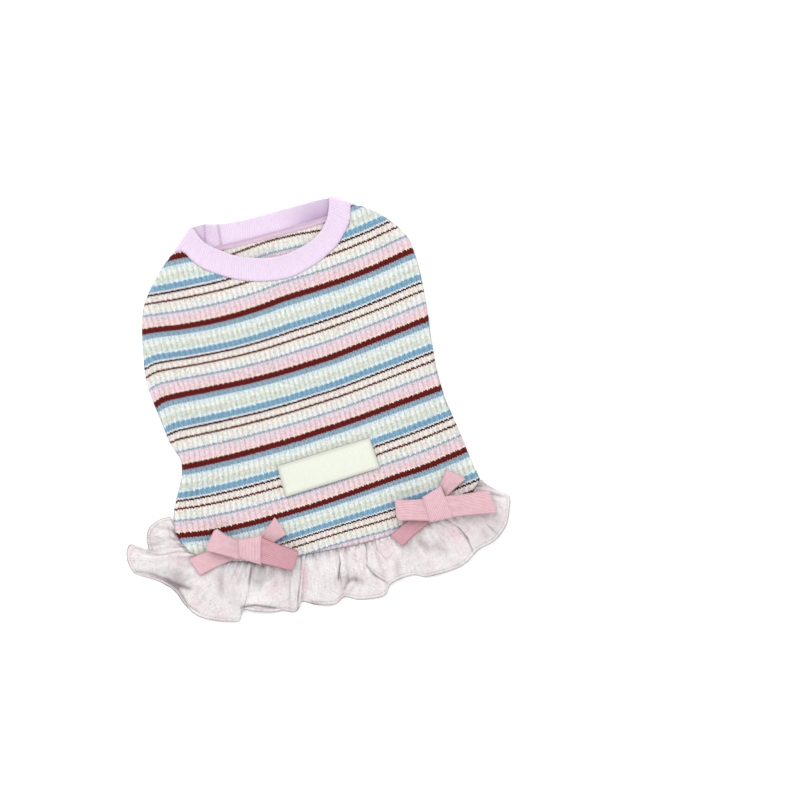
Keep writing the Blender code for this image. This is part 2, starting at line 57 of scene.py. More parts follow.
KNIT = 1.2
RIB_PITCH = 3.25
RIB_COUNT = 66
WALES_PER_RIB = 3
SIDE_WRAP = 12.0
SETTLE_REACH = 11.0
BACK_LEFT_WALE = -109.6
SEAM_GAP = 0.3
SEAM_CLOSE = 0.1
SIDE_GAP = 0.5
LEG_HOLE_MIDDLE = 54.0
LEG_HOLE_LENGTH = 52.0
LEG_HOLE_WIDTH = 32.0
BELLY_HEM = -52.0
BAND = 1.6
BAND_HEIGHT = 14.0
BAND_SEAM_RADIUS = 1.15
BAND_FREE_RADIUS = 1.4
BAND_FOLD_SLANT = 0.8
LABEL_SIZE = (62.0, 20.0)
LABEL_SEAM = 1.4
RIBBON = 1.0


def columns(names, rows):
    """A table's rows as {column name: array of its values}."""
    return dict(zip(names.split(), np.array(rows, float).T))


# The garment's edge from above, left and right, from the hem up to the neck.
OUTLINE = columns(
    "y left right",
    (
        (-104, -103.0, 91.5),
        (-80, -103.0, 90.6),
        (-66, -102.0, 88.2),
        (-50, -97.4, 86.2),
        (-38, -90.8, 84.4),
        (-26, -86.0, 82.9),
        (-8, -89.8, 82.6),
        (10, -92.0, 84.3),
        (28, -93.8, 86.4),
        (46, -91.5, 88.0),
        (64, -87.5, 88.1),
        (76, -83.3, 86.2),
        (88, -74.5, 78.8),
        (100, -62.3, 66.4),
        (106, -54.0, 56.2),
    ),
)

# How round the side folds are, the back layer's least height, and how far the ribs spread on each side.
SIDE = columns(
    "y radius middle spread_left spread_right",
    (
        (-104, 1.5, 1.7, 1.115, 1.050),
        (-76, 1.6, 1.7, 1.115, 1.050),
        (-62, 1.8, 2.0, 1.110, 1.040),
        (-50, 2.0, 2.5, 1.080, 1.030),
        (-38, 2.2, 2.6, 1.030, 1.010),
        (-24, 2.2, 2.6, 1.000, 1.000),
        (80, 2.2, 2.6, 1.000, 1.000),
        (106, 1.2, 2.8, 1.000, 1.000),
    ),
)

# Soft swells of the back layer, as in the solids: middle, reach each way, and rise.
SWELLS = columns(
    "x y reach_x reach_y rise",
    (
        (-64, 24, 20, 52, 0.9),
        (-30, -34, 26, 20, 0.6),
        (28, 30, 22, 30, 0.6),
        (66, 8, 15, 55, 0.9),
        (6, -78, 40, 12, 0.5),
        (-66, -66, 16, 16, 0.6),
    ),
)

# Soft creases laid over those: a line from one place to another, its half width and its rise.
CREASES = columns(
    "x1 y1 x2 y2 reach rise",
    (
        (-62, 92, -38, 62, 5.0, 0.45),
        (60, 92, 46, 66, 5.0, 0.40),
        (-84, -20, -58, -34, 6.0, 0.40),
        (80, -26, 56, -38, 5.5, 0.30),
        (-30, -84, -24, -60, 4.5, 0.35),
        (24, -92, 20, -70, 4.5, 0.35),
        (70, -70, 64, -46, 5.0, 0.35),
        (-88, -50, -74, -66, 5.0, 0.40),
        (-2, 66, 2, 44, 7.0, -0.30),
        (-44, 20, -10, 12, 7.0, -0.25),
    ),
)

# The hem of the back panel, by the distance from x = 0 along the folded wall.
HEM = columns(
    "arc y",
    (
        (-125, -56.0),
        (-105, -56.6),
        (-102.5, -59.4),
        (-101, -62.4),
        (-99.6, -68.0),
        (-97.2, -75.5),
        (-92.5, -81.5),
        (-84, -86.5),
        (-75, -90.0),
        (-65, -93.0),
        (-55, -96.8),
        (-40, -98.2),
        (-15, -100.0),
        (10, -101.6),
        (40, -100.6),
        (58, -98.6),
        (70, -95.4),
        (80, -90.8),
        (86.5, -86.5),
        (90, -83.0),
        (93.5, -80.4),
        (115, -78.0),
    ),
)

# The neck band's back half from the left fold to the right one, and its belly half back again.
BAND_BACK = columns(
    "seam_x seam_y free_x free_y",
    (
        (-56.0, 104.2, -41.8, 116.4),
        (-51.5, 102.6, -40.0, 112.6),
        (-47.5, 96.4, -37.6, 106.6),
        (-43.0, 90.6, -33.6, 102.0),
        (-36.0, 85.0, -28.6, 98.0),
        (-26.0, 78.8, -20.6, 92.4),
        (-13.0, 73.4, -10.0, 88.0),
        (0.0, 70.6, 1.0, 85.2),
        (10.0, 70.0, 10.0, 84.8),
        (21.0, 72.2, 20.0, 86.4),
        (33.0, 76.4, 30.0, 89.8),
        (43.0, 82.0, 37.4, 95.2),
        (50.0, 88.8, 41.6, 100.8),
        (54.8, 95.0, 44.0, 106.4),
        (58.0, 104.2, 45.6, 112.0),
    ),
)
BAND_BELLY = columns(
    "seam_x seam_y free_x free_y",
    (
        (58.0, 104.2, 45.6, 112.0),
        (49.0, 101.2, 39.0, 112.5),
        (36.0, 100.0, 29.0, 112.5),
        (12.0, 99.6, 11.0, 112.5),
        (-12.0, 99.6, -11.0, 112.6),
        (-32.0, 100.2, -26.0, 114.2),
        (-46.0, 101.4, -35.0, 116.4),
        (-56.0, 104.2, -41.8, 116.4),
    ),
)

# The ruffle's folds: how far along the hem each starts, where its edge lies, and its heights.
FOLDS = columns(
    "along edge_x edge_y middle_z edge_z",
    (
        (0.0, -101.6, -54.6, 1.5, 1.0),
        (3.0, -108.0, -54.6, 2.4, 1.6),
        (6.0, -115.5, -57.6, 4.2, 4.6),
        (9.0, -119.2, -64.0, 3.8, 3.2),
        (12.0, -120.4, -71.6, 3.0, 1.6),
        (15.0, -126.0, -67.6, 3.4, 2.6),
        (18.0, -130.6, -65.0, 4.8, 4.8),
        (21.5, -134.0, -72.4, 5.2, 4.6),
        (25.0, -132.6, -82.0, 5.0, 2.6),
        (28.5, -125.6, -87.4, 4.6, 1.0),
        (31.5, -117.6, -93.0, 4.4, 0.8),
        (35.0, -110.6, -101.0, 4.4, 0.8),
        (39.0, -107.0, -110.6, 4.0, 1.0),
        (44.0, -100.6, -119.2, 3.2, 2.0),
        (50.0, -91.0, -124.4, 3.0, 3.2),
        (56.0, -82.6, -127.4, 3.0, 2.0),
        (61.0, -76.8, -128.4, 3.6, 3.6),
        (64.5, -74.0, -122.4, 3.0, 2.4),
        (69.0, -64.6, -125.6, 3.4, 5.6),
        (74.5, -55.6, -128.6, 3.0, 3.2),
        (80.0, -48.6, -129.8, 2.6, 1.0),
        (87.0, -42.0, -132.0, 4.0, 4.0),
        (92.0, -38.2, -129.6, 4.4, 5.6),
        (95.0, -35.8, -127.0, 2.0, 1.2),
        (100.0, -28.4, -131.0, 2.4, 2.2),
        (108.0, -17.0, -133.8, 3.8, 4.2),
        (115.0, -9.6, -131.2, 4.6, 1.4),
        (121.0, -1.6, -135.0, 2.4, 0.8),
        (129.0, 8.0, -136.8, 3.6, 1.6),
        (135.0, 15.6, -136.2, 4.6, 4.6),
        (139.0, 19.6, -131.4, 2.6, 3.0),
        (145.0, 27.0, -129.2, 3.2, 4.2),
        (151.0, 35.6, -129.2, 2.2, 1.2),
        (157.0, 43.0, -132.2, 2.4, 2.0),
        (165.0, 53.0, -132.4, 3.8, 4.4),
        (173.0, 62.6, -132.2, 2.6, 1.4),
        (180.0, 70.6, -129.4, 3.8, 4.4),
        (185.0, 76.4, -125.4, 4.2, 5.0),
        (189.0, 82.0, -123.6, 2.0, 1.0),
        (196.0, 91.0, -121.0, 3.0, 3.4),
        (203.0, 99.6, -114.0, 2.4, 1.6),
        (209.0, 104.0, -105.0, 3.2, 3.4),
        (214.0, 106.0, -97.2, 3.0, 2.6),
        (219.0, 101.0, -93.2, 1.6, 1.0),
    ),
)

# Creases of the ruffle: a line from one place to another, its half width and its rise.
RUFFLE_CREASES = columns(
    "x1 y1 x2 y2 reach rise",
    (
        (-130.5, -82.0, -121.5, -86.2, 1.1, -1.0),
        (-122.0, -86.4, -113.5, -93.0, 1.5, -1.9),
        (-114.5, -91.5, -108.5, -99.5, 1.8, -2.6),
        (-111.0, -95.5, -101.0, -101.5, 1.5, -2.0),
        (-108.6, -100.5, -105.5, -111.5, 1.2, -1.7),
        (-105.8, -110.5, -99.5, -117.0, 0.9, -0.9),
        (-101.0, -98.0, -93.5, -100.5, 2.0, 0.9),
        (-116.0, -73.0, -106.0, -88.0, 6.5, 1.2),
        (-125.5, -88.5, -113.0, -97.6, 1.2, 1.1),
        (-112.0, -98.8, -108.4, -109.0, 1.2, 1.1),
        (-117.0, -63.0, -105.0, -67.0, 1.8, 0.7),
        (-118.5, -68.5, -109.5, -70.5, 1.6, -0.7),
        (-111.5, -58.0, -103.8, -62.5, 1.4, -0.7),
        (-104.4, -60.5, -104.6, -67.5, 0.7, -0.5),
        (-104.8, -66.5, -96.0, -79.5, 0.7, -0.8),
        (-122.5, -72.0, -116.0, -74.5, 1.8, -0.7),
        (-94.0, -97.5, -89.0, -113.0, 3.5, 0.7),
        (-79.8, -96.5, -83.8, -110.0, 2.2, -1.1),
        (-76.0, -97.0, -77.0, -116.0, 3.0, 0.6),
        (-71.5, -97.0, -71.0, -107.0, 1.0, -0.6),
        (-60.6, -97.0, -65.0, -108.5, 0.8, -1.7),
        (-57.0, -99.0, -58.0, -108.0, 1.8, 0.7),
        (-52.0, -98.5, -53.2, -104.0, 0.7, -0.9),
        (-60.5, -108.5, -50.0, -107.0, 3.2, -0.9),
        (-74.5, -127.5, -73.4, -121.0, 0.8, -1.3),
        (-73.5, -120.8, -63.5, -121.6, 0.8, -1.9),
        (-64.5, -121.5, -52.0, -127.0, 0.8, -2.1),
        (-70.0, -118.6, -54.0, -122.2, 1.8, 0.9),
        (-28.9, -99.0, -33.4, -114.0, 0.8, -1.6),
        (-33.2, -113.5, -37.6, -124.4, 0.9, -2.1),
        (-37.4, -124.0, -39.2, -130.0, 0.8, -1.1),
        (-36.5, -104.0, -41.5, -127.0, 2.0, 1.2),
        (-36.9, -106.0, -38.3, -114.0, 0.6, -0.7),
        (-36.0, -124.0, -29.0, -120.8, 0.9, -0.8),
        (-36.5, -127.6, -26.0, -130.6, 1.0, -1.0),
        (-25.0, -103.0, -26.0, -114.0, 3.4, 0.7),
        (-20.5, -101.0, -21.5, -112.0, 1.2, -0.6),
        (-15.0, -103.0, -15.5, -116.0, 3.0, 0.6),
        (-5.2, -102.6, -6.6, -110.4, 0.6, -1.3),
        (-6.4, -109.4, -10.4, -119.6, 0.8, -2.0),
        (-8.6, -127.2, -5.2, -122.4, 1.0, -1.2),
        (-5.6, -122.0, 1.4, -122.8, 1.9, -1.2),
        (0.4, -122.5, 4.0, -126.5, 2.2, -0.8),
        (-10.5, -118.0, -4.5, -121.0, 2.2, -0.7),
        (-6.6, -127.5, -1.6, -124.0, 1.4, 0.9),
        (12.0, -103.0, 9.2, -116.0, 0.8, -1.2),
        (8.6, -115.5, 12.6, -123.4, 0.9, -1.5),
        (11.8, -122.4, 18.4, -129.4, 0.9, -2.0),
        (12.4, -119.5, 18.8, -127.0, 0.7, -1.0),
        (18.3, -103.0, 17.8, -109.0, 0.6, -1.0),
        (17.6, -107.5, 21.8, -116.0, 0.7, -1.2),
        (21.4, -116.0, 29.4, -112.2, 0.9, -0.8),
        (24.0, -104.0, 24.5, -111.0, 4.6, -1.1),
        (28.4, -117.0, 26.6, -128.0, 2.4, -1.2),
        (34.0, -112.0, 32.0, -124.0, 2.8, 0.8),
        (44.0, -107.0, 49.5, -118.0, 2.8, -1.5),
        (52.0, -115.0, 60.0, -121.5, 2.6, -0.9),
        (42.0, -114.0, 43.5, -125.0, 2.6, 0.8),
        (63.0, -119.5, 68.5, -126.0, 2.2, -0.6),
        (60.5, -102.0, 64.5, -113.0, 1.4, -0.7),
        (57.0, -104.0, 58.0, -118.0, 2.6, 0.6),
        (64.6, -101.2, 71.0, -108.6, 0.7, -1.6),
        (70.4, -107.4, 74.0, -116.4, 0.9, -2.0),
        (73.5, -115.0, 75.2, -124.4, 0.9, -1.7),
        (76.0, -106.0, 79.5, -121.0, 2.4, 0.9),
        (84.0, -106.0, 85.5, -120.0, 2.4, -0.7),
        (86.5, -108.0, 93.0, -118.4, 0.8, -1.1),
        (91.0, -103.0, 95.4, -112.0, 2.4, -0.8),
        (95.5, -97.0, 98.5, -112.0, 2.2, 0.7),
        (93.0, -92.0, 102.5, -96.5, 1.3, -0.9),
    ),
)

# Painted light and shade over the ruffle's own folds: a rise above 0 takes painted grey shade away and then
# paints the pink of light through the thin cloth, and a rise below 0 paints grey shade.
RUFFLE_PAINTED_SHADES = columns(
    "x y reach_x reach_y rise",
    (
        (-30.2, -108.0, 4.2, 9.5, 0.55),
        (-32.8, -117.0, 3.4, 5.5, 0.45),
        (23.6, -107.6, 6.0, 6.5, 0.8),
        (6.0, -107.0, 9.0, 6.0, 0.45),
        (-52.0, -114.0, 7.0, 5.0, 0.5),
        (68.0, -113.0, 5.0, 9.0, 0.5),
        (-104.0, -82.0, 8.0, 7.5, 0.45),
        (18.0, -126.0, 6.0, 4.0, 0.4),
        (97.0, -108.0, 7.0, 8.0, 0.25),
        (86.0, -106.0, 6.0, 7.0, 0.35),
        (62.0, -106.0, 9.0, 7.0, 0.35),
        (-106.8, -93.0, 6.5, 7.0, -0.6),
        (-57.5, -110.8, 4.5, 7.0, -0.35),
        (-76.2, -115.5, 5.0, 8.0, -0.2),
    ),
)

# The ruffle's thickness, where along the hem it starts and ends, and where its middle height holds.
RUFFLE = 1.0
RUFFLE_ENDS = (-100.9, 90.6)
RUFFLE_MIDDLE = 0.5
END_CLEARANCE = 0.7
END_REACH = 6.0
PUCKER_PITCH = 6.4
PUCKER_RISE = 0.35

LABEL_CORNERS = columns("x y", ((-29.0, -61.6), (33.0, -59.2), (31.5, -39.0), (-29.0, -41.2)))

# Where the middle of each maroon stripe runs on the back, as a row for each place across.
MAROON_LINES = columns(
    "x hem lowest low high highest top",
    (
        (-112, -105.0, -65.0, -24.5, 18.0, 62.5, 103.0),
        (-98, -107.5, -67.2, -25.6, 17.0, 62.0, 102.5),
        (-84, -109.3, -69.6, -26.6, 17.6, 61.0, 102.0),
        (-60, -109.2, -71.2, -27.8, 16.4, 57.8, 101.6),
        (-30, -107.2, -71.2, -28.0, 14.8, 56.4, 100.6),
        (-10, -105.9, -70.7, -27.6, 14.7, 57.4, 101.0),
        (0, -105.7, -70.1, -27.0, 15.0, 58.5, 101.8),
        (20, -106.2, -68.6, -26.0, 15.9, 59.4, 102.4),
        (40, -106.4, -66.9, -24.2, 18.0, 60.5, 103.5),
        (60, -107.0, -65.5, -22.3, 20.3, 62.7, 105.5),
        (85, -104.4, -61.8, -20.0, 23.3, 66.5, 109.5),
        (108, -100.8, -58.4, -18.0, 25.0, 68.5, 112.0),
    ),
)
STRIPE_REPEAT = 42.8
MAROON_MIDDLE = 1.65
# How far the stitches and ribs push a stripe edge down, on the mean.
MEAN_STEP = 1.55

# One repeat of the stripes, from a maroon stripe's top edge down: where each starts, and its colour.
STRIPES = (
    (0.0, "maroon"),
    (3.6, "slate"),
    (6.7, "aqua_white"),
    (8.9, "mint_white"),
    (11.6, "mint"),
    (15.3, "aqua_white"),
    (16.9, "sky"),
    (20.7, "white"),
    (21.6, "brown"),
    (23.0, "cream_pink"),
    (26.6, "russet"),
    (28.0, "cream"),
    (32.4, "white"),
    (34.2, "grey_blue"),
    (35.5, "lavender_pink"),
    (39.6, "blush"),
    (41.9, "cream"),
)


class Ribbon:
    """A bow's loop or tail: the ends of its root and far edge, their heights, the loop's height, its painted
    shade.
    """

    def __init__(self, node, row):
        self.node = node
        *corners, self.root_z, self.far_z, self.loop, self.shade = row
        self.root, self.far = np.array(corners).reshape(2, 2, 2)


RIBBONS = {
    "bow_left_tail_a": (-66.6, -78.8, -69.2, -90.4, -97.2, -82.6, -92.8, -94.8, 4.4, 5.6, 0.0, 0.0),
    "bow_left_tail_b": (-49.0, -79.4, -51.4, -90.0, -38.4, -71.4, -34.2, -84.2, 4.2, 4.2, 0.0, 0.0),
    "bow_left_loop_a": (-64.5, -79.6, -67.2, -90.8, -75.4, -68.4, -85.2, -80.5, 6.2, 6.9, 2.2, 0.0),
    "bow_left_loop_b": (-48.9, -81.8, -53.2, -97.6, -28.9, -95.8, -36.5, -106.9, 5.8, 6.6, 2.2, 0.45),
    "bow_right_tail_a": (52.4, -89.0, 54.6, -99.4, 28.0, -101.2, 33.4, -109.8, 4.6, 5.2, 0.0, 0.4),
    "bow_right_tail_b": (66.8, -77.6, 68.4, -87.0, 72.4, -70.2, 83.0, -79.6, 4.4, 5.2, 0.0, 0.0),
    "bow_right_loop_a": (52.4, -84.2, 53.2, -98.4, 36.8, -80.0, 34.6, -93.4, 6.2, 6.6, 2.2, 0.0),
    "bow_right_loop_b": (67.4, -86.4, 69.4, -100.2, 94.2, -89.2, 95.8, -105.0, 5.8, 6.8, 2.2, 0.0),
}
LOOP_PUFF = 1.4
ROOT_UNDER_KNOT = 1.4
KNOTS = {
    "bow_left_knot": ((-64.3, -79.4), (-48.8, -80.5), (-54.0, -98.1), (-66.4, -90.4)),
    "bow_right_knot": ((53.2, -83.4), (66.4, -79.6), (69.2, -100.6), (53.4, -99.6)),
}
KNOT_LOW = 3.8
KNOT_HIGH = 10.0
KNOT_EDGE = 0.35

# Where the picture's middle lies, in metres, and how far the picture is turned.
FRAME_MIDDLE = (0.0557, -0.0214, 0.0)
FRAME_TURN = np.radians(-15)


# ---------------------------------------------------------------- shapes


def smooth(at, knots, values):
    """A smooth curve through values at knots: cubic pieces, each slope a weighted mean of its neighbours'."""
    at = np.clip(at, knots[0], knots[-1])
    slopes = np.gradient(values, knots, axis=0)
    start = np.clip(np.searchsorted(knots, at, side="right") - 1, 0, len(knots) - 2)
    span = knots[start + 1] - knots[start]
    t = (at - knots[start]) / span
    rise = values[start + 1] - values[start]
    bend = (span * slopes[start] - rise) * (1 - t) + (rise - span * slopes[start + 1]) * t
    return values[start] + rise * t + t * (1 - t) * bend


def lerp(a, b, t):
    """A straight mix of a and b."""
    return a + (b - a) * t


def step_up(x, low, high):
    """Rises smoothly from 0 at low to 1 at high: three t squared less two t cubed."""
    t = np.clip((x - low) / (high - low), 0, 1)
    return t * t * (3 - 2 * t)


def ripple(x, y, seed, size):
    """Smooth uneven waves within plus or minus 1: a mean of five sines, each turned its own way."""
    rng = np.random.default_rng(seed)
    total = 0.0
    for turn, phase, scale in zip(rng.uniform(0, np.pi, 5), rng.uniform(0, 6.3, 5), rng.uniform(0.7, 1.5, 5)):
        total = total + np.sin((x * np.cos(turn) + y * np.sin(turn)) * 2 * np.pi / (size * scale) + phase)
    return total / 5


def bell(x, reach, power=2):
    """A bell curve, 1 at 0: the exponential of minus an even power of x over its reach."""
    return np.exp(-((x / reach) ** power))


def stacked(*parts):
    """Several values for each place of a grid, as its last axis."""
    return np.stack(np.broadcast_arrays(*parts), axis=-1)


def bells(x, y, table):
    """The sum of a table's bell-shaped swells."""
    total = 0.0
    for middle_x, middle_y, reach_x, reach_y, rise in zip(*table.values()):
        total = total + rise * bell(x - middle_x, reach_x) * bell(y - middle_y, reach_y)
    return total


def swell(x, y):
    """The back layer's lift: bell-shaped swells, and bell-shaped ridges along each crease."""
    return bells(x, y, SWELLS) + creased(x, y, CREASES)


def creased(x, y, table):
    """The lift of a table's creases: a bell curve across each line, whose ends fade by a fourth power."""
    lift = 0.0
    for x1, y1, x2, y2, reach, rise in zip(*table.values()):
        way_x, way_y = x2 - x1, y2 - y1
        length = np.hypot(way_x, way_y)
        along = ((x - x1) * way_x + (y - y1) * way_y) / length**2
        aside = ((x - x1) * way_y - (y - y1) * way_x) / length
        lift = lift + rise * bell(along - 0.5, 0.55, 4) * bell(aside, reach)
    return lift


def fold_start(y, side):
    """How far from x = 0 the side fold begins, and the fold's radius, both along the wall's middle."""
    left = -smooth(y, OUTLINE["y"], OUTLINE["left"])
    right = smooth(y, OUTLINE["y"], OUTLINE["right"])
    radius = smooth(y, SIDE["y"], SIDE["radius"])
    return np.where(side < 0, left, right) - KNIT / 2 - radius, radius


def spread(y, side):
    """How far apart the ribs lie, as a share of their pitch at rest."""
    left = smooth(y, SIDE["y"], SIDE["spread_left"])
    right = smooth(y, SIDE["y"], SIDE["spread_right"])
    return np.where(side < 0, left, right)


def knit(arc, y):
    """The body wall's middle and outward way: flat, then half round the side fold, then flat underneath.

    On top it settles from the fold's height to the layer's own by a bell curve, plus the swells.
    """
    side = np.where(arc < 0, -1.0, 1.0)
    start, radius = fold_start(y, side)
    past = np.abs(arc) - start
    angle = np.clip(past / radius, 0, np.pi)
    under = np.maximum(past - np.pi * radius, 0)
    x = side * (np.minimum(np.abs(arc), start) + radius * np.sin(angle) - under)
    settled = 1 - bell(np.maximum(-past, 0), SETTLE_REACH)
    rest = smooth(y, SIDE["y"], SIDE["middle"]) + swell(x, y)
    z = KNIT / 2 + radius * (1 + np.cos(angle)) + (rest - KNIT / 2 - 2 * radius) * settled
    return stacked(x, y, z), stacked(side * np.sin(angle), 0.0, np.cos(angle))


def neck_seam(x, half):
    """A knit panel's edge beside the neck band: its seam line, less the gap measured square to it."""
    order = np.argsort(half["seam_x"])
    fine = np.linspace(half["seam_x"].min(), half["seam_x"].max(), 400)
    curve = smooth(fine, half["seam_x"][order], half["seam_y"][order])
    gap = SEAM_CLOSE * np.sqrt(1 + np.gradient(curve, fine) ** 2)
    return np.interp(x, fine, curve - gap)


def back_wales(per_rib):
    """Places across the back panel, with per_rib columns to each rib, starting in a valley."""
    return BACK_LEFT_WALE + np.arange(per_rib * RIB_COUNT + 1) * RIB_PITCH / per_rib


def side_seam(y, side):
    """The wale of the side seam: SIDE_WRAP past the fold, and never nearer the middle further down."""
    rows = np.linspace(OUTLINE["y"][-1], OUTLINE["y"][0], 600)
    sides = side * np.ones_like(rows)
    start, radius = fold_start(rows, sides)
    ends = np.maximum.accumulate((start + np.pi * radius + SIDE_WRAP) / spread(rows, sides))
    return np.interp(-y, -rows, ends)


def back_top(wale):
    """Where each wale of the back panel ends: at the neck, or where the side seam crosses it."""
    side = np.where(wale < 0, -1.0, 1.0)
    crown = BAND_BACK["seam_y"].max() * np.ones_like(wale)
    x = knit(wale, crown)[0][..., 0]
    start, radius = fold_start(crown, side)
    on_top = np.abs(wale) < start + radius * np.pi / 2
    top = np.where(on_top, neck_seam(x, BAND_BACK), neck_seam(x, BAND_BELLY))
    rows = np.linspace(OUTLINE["y"][-1], LEG_HOLE_MIDDLE - LEG_HOLE_LENGTH, 300)
    for sign in (-1.0, 1.0):
        cut = np.interp(np.abs(wale), side_seam(rows, sign), rows)
        top = np.where(side == sign, np.minimum(top, cut), top)
    return top


def hem_of(wale):
    """Where each wale meets the hem, found by repeating the step from its place to the hem there."""
    side = np.where(wale < 0, -1.0, 1.0)
    y = HEM["y"].min() * np.ones_like(wale)
    for _ in range(12):
        y = smooth(wale * spread(y, side), HEM["arc"], HEM["y"])
    return y


def maroon_place(x, y):
    """How far down the stripes a place on the back lies, counted from a maroon stripe's top edge.

    Between two maroon lines the count runs evenly, so that the stripes keep to the lines' waves. Over the
    last few millimetres before the left fold they are pulled down, by a parabola.
    """
    to_fold = x - smooth(y, OUTLINE["y"], OUTLINE["left"])
    y = y + 2.6 * np.clip(1 - to_fold / 9, 0, 1) ** 2 * bell(y - 20, 32, 4)
    names = ("hem", "lowest", "low", "high", "highest", "top")
    lines = np.stack([smooth(x, MAROON_LINES["x"], MAROON_LINES[name]) for name in names])
    count = -(y - lines[0]) / STRIPE_REPEAT
    for i in range(len(names) - 1):
        share = (y - lines[i]) / (lines[i + 1] - lines[i])
        count = np.where(y > lines[i], -(i + share), count)
    return count * STRIPE_REPEAT + MAROON_MIDDLE


def grid_faces(index, closed=False):
    """Quads over a grid of vertex numbers."""
    following = np.roll(index, -1, axis=1) if closed else index[:, 1:]
    first = index if closed else index[:, :-1]
    return np.stack((first[:-1], following[:-1], following[1:], first[1:]), axis=-1).reshape(-1, 4)


def grid_normals(points, closed=False):
    """Unit normals of a grid of points: the cross product of its differences along and down."""
    down = np.gradient(points, axis=0)
    if closed:
        along = np.roll(points, -1, axis=1) - np.roll(points, 1, axis=1)
    else:
        along = np.gradient(points, axis=1)
    normal = np.cross(along, down)
    return normal / np.maximum(np.linalg.norm(normal, axis=2, keepdims=True), 1e-9)


def piece(name, points, faces, material, places=None):
    """A mesh object of points in millimetres that rides on the dress, with any cloth coordinates stored."""
    mesh = bpy.data.meshes.new(name)
    mesh.from_pydata((points * MM).tolist(), [], faces)
    shaped = bmesh.new()
    shaped.from_mesh(mesh)
    bmesh.ops.recalc_face_normals(shaped, faces=shaped.faces)
    shaped.to_mesh(mesh)
    shaped.free()
    mesh.shade_smooth()
    if places is not None:
        stored = mesh.attributes.new("cloth", "FLOAT_VECTOR", "POINT")
        stored.data.foreach_set("vector", np.asarray(places, np.float32).ravel())
    item = bpy.data.objects.new(name, mesh)
    bpy.context.scene.collection.objects.link(item)
    item.data.materials.append(material)
    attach(item, BODY)
    return item


def shell(name, outer, inner, outer_places, inner_places, material, closed=False):
    """A thin closed shell between two grids of points: both grids, joined along every open edge."""
    rows, across = outer.shape[:2]
    outside = np.arange(rows * across).reshape(rows, across)
    inside = outside + rows * across
    parts = [grid_faces(outside, closed), grid_faces(inside, closed)[:, ::-1]]
    for row in (0, -1):
        parts.append(grid_faces(np.stack([outside[row], inside[row]]), closed))
    if not closed:
        for column in (0, -1):
            parts.append(grid_faces(np.stack([outside[:, column], inside[:, column]])))
    points = np.concatenate([outer.reshape(-1, 3), inner.reshape(-1, 3)])
    places = np.concatenate([outer_places.reshape(-1, 3), inner_places.reshape(-1, 3)])
    return piece(name, points, np.concatenate(parts).tolist(), material, places)


def tube(path, radius, sides=6):
    """Points, side faces and end faces of a round thread: a circle carried square to a path, ends pinched."""
    path = np.asarray(path, float)
    ahead = np.gradient(path, axis=0)
    ahead = ahead / np.linalg.norm(ahead, axis=1, keepdims=True)
    aside = np.cross(ahead, (0.0, 0.0, 1.0))
    aside = aside / np.maximum(np.linalg.norm(aside, axis=1, keepdims=True), 1e-9)
    up = np.cross(aside, ahead)
    turn = np.linspace(0, 2 * np.pi, sides, endpoint=False)
    girth = np.full(len(path), radius)
    girth[[0, -1]] *= 0.35
    ring = aside[:, None] * np.cos(turn)[None, :, None] + up[:, None] * np.sin(turn)[None, :, None]
    points = path[:, None] + ring * girth[:, None, None]
    index = np.arange(len(path) * sides).reshape(len(path), sides)
    return points.reshape(-1, 3), grid_faces(index, closed=True), np.stack([index[0], index[-1][::-1]])


def threads(name, paths, radius, material):
    """Many short threads as one piece."""
    points, sides, ends = zip(*(tube(path, radius) for path in paths))
    before = np.cumsum([0] + [len(found) for found in points])
    faces = []
    for parts in (sides, ends):
        faces += np.concatenate([part + count for part, count in zip(parts, before)]).tolist()
    return piece(name, np.concatenate(points), faces, material)


# ---------------------------------------------------------------- colours and finishes


def linear(code):
    """An sRGB hex colour as linear red, green and blue."""
    channels = np.array([int(code[i : i + 2], 16) for i in (1, 3, 5)]) / 255
    low = channels / 12.92
    high = ((channels + 0.055) / 1.055) ** 2.4
    return tuple(float(c) for c in np.where(channels <= 0.04045, low, high))


def add(tree, kind, *inputs, result=None, **settings):
    """Adds a node with its settings, sets or links its inputs in order, and gives one of its results.

    Only the inputs in use count, and None leaves one as it is. The result is the one named, or the first.
    """
    node = tree.nodes.new("ShaderNode" + kind)
    for key, value in settings.items():
        setattr(node, key, value)
    in_use = [socket for socket in node.inputs if socket.enabled]
    for socket, value in zip(in_use, inputs):
        if isinstance(value, bpy.types.NodeSocket):
            tree.links.new(value, socket)
        elif value is not None:
            socket.default_value = value
    return node.outputs[result] if result else next(socket for socket in node.outputs if socket.enabled)


def cloth_places(tree):
    """The piece's stored cloth coordinates in millimetres, as three values."""
    stored = add(tree, "Attribute", result="Vector", attribute_name="cloth", attribute_type="GEOMETRY")
    return add(tree, "SeparateXYZ", stored).node.outputs


def wave(tree, value, pitch):
    """A sine of a length, between 0 and 1, that repeats every pitch."""
    turned = add(tree, "Math", value, 2 * np.pi / pitch, operation="MULTIPLY")
    sine = add(tree, "Math", turned, operation="SINE")
    return add(tree, "Math", sine, 0.5, 0.5, operation="MULTIPLY_ADD")


def from_middle(tree, value, pitch):
    """How far a length lies from the middle of its repeat: 0 there, and 0.5 where the next one starts."""
    for operation, other in (("DIVIDE", pitch), ("FRACT", None), ("SUBTRACT", 0.5), ("ABSOLUTE", None)):
        value = add(tree, "Math", value, other, operation=operation)
    return value


def knit_stitches(tree, wale, course, wale_pitch, course_pitch):
    """The raised V of each knit stitch: a wave down each wale, pushed down at the wale's two sides."""
    off = from_middle(tree, wale, wale_pitch)
    lean = add(tree, "Math", off, -1.6 * course_pitch, course, operation="MULTIPLY_ADD")
    side = add(tree, "Math", add(tree, "Math", off, 2.0, operation="MULTIPLY"), 4.0, operation="POWER")
    inside = add(tree, "Math", 1.0, side, operation="SUBTRACT")
    return add(tree, "Math", wave(tree, lean, course_pitch), inside, operation="MULTIPLY")


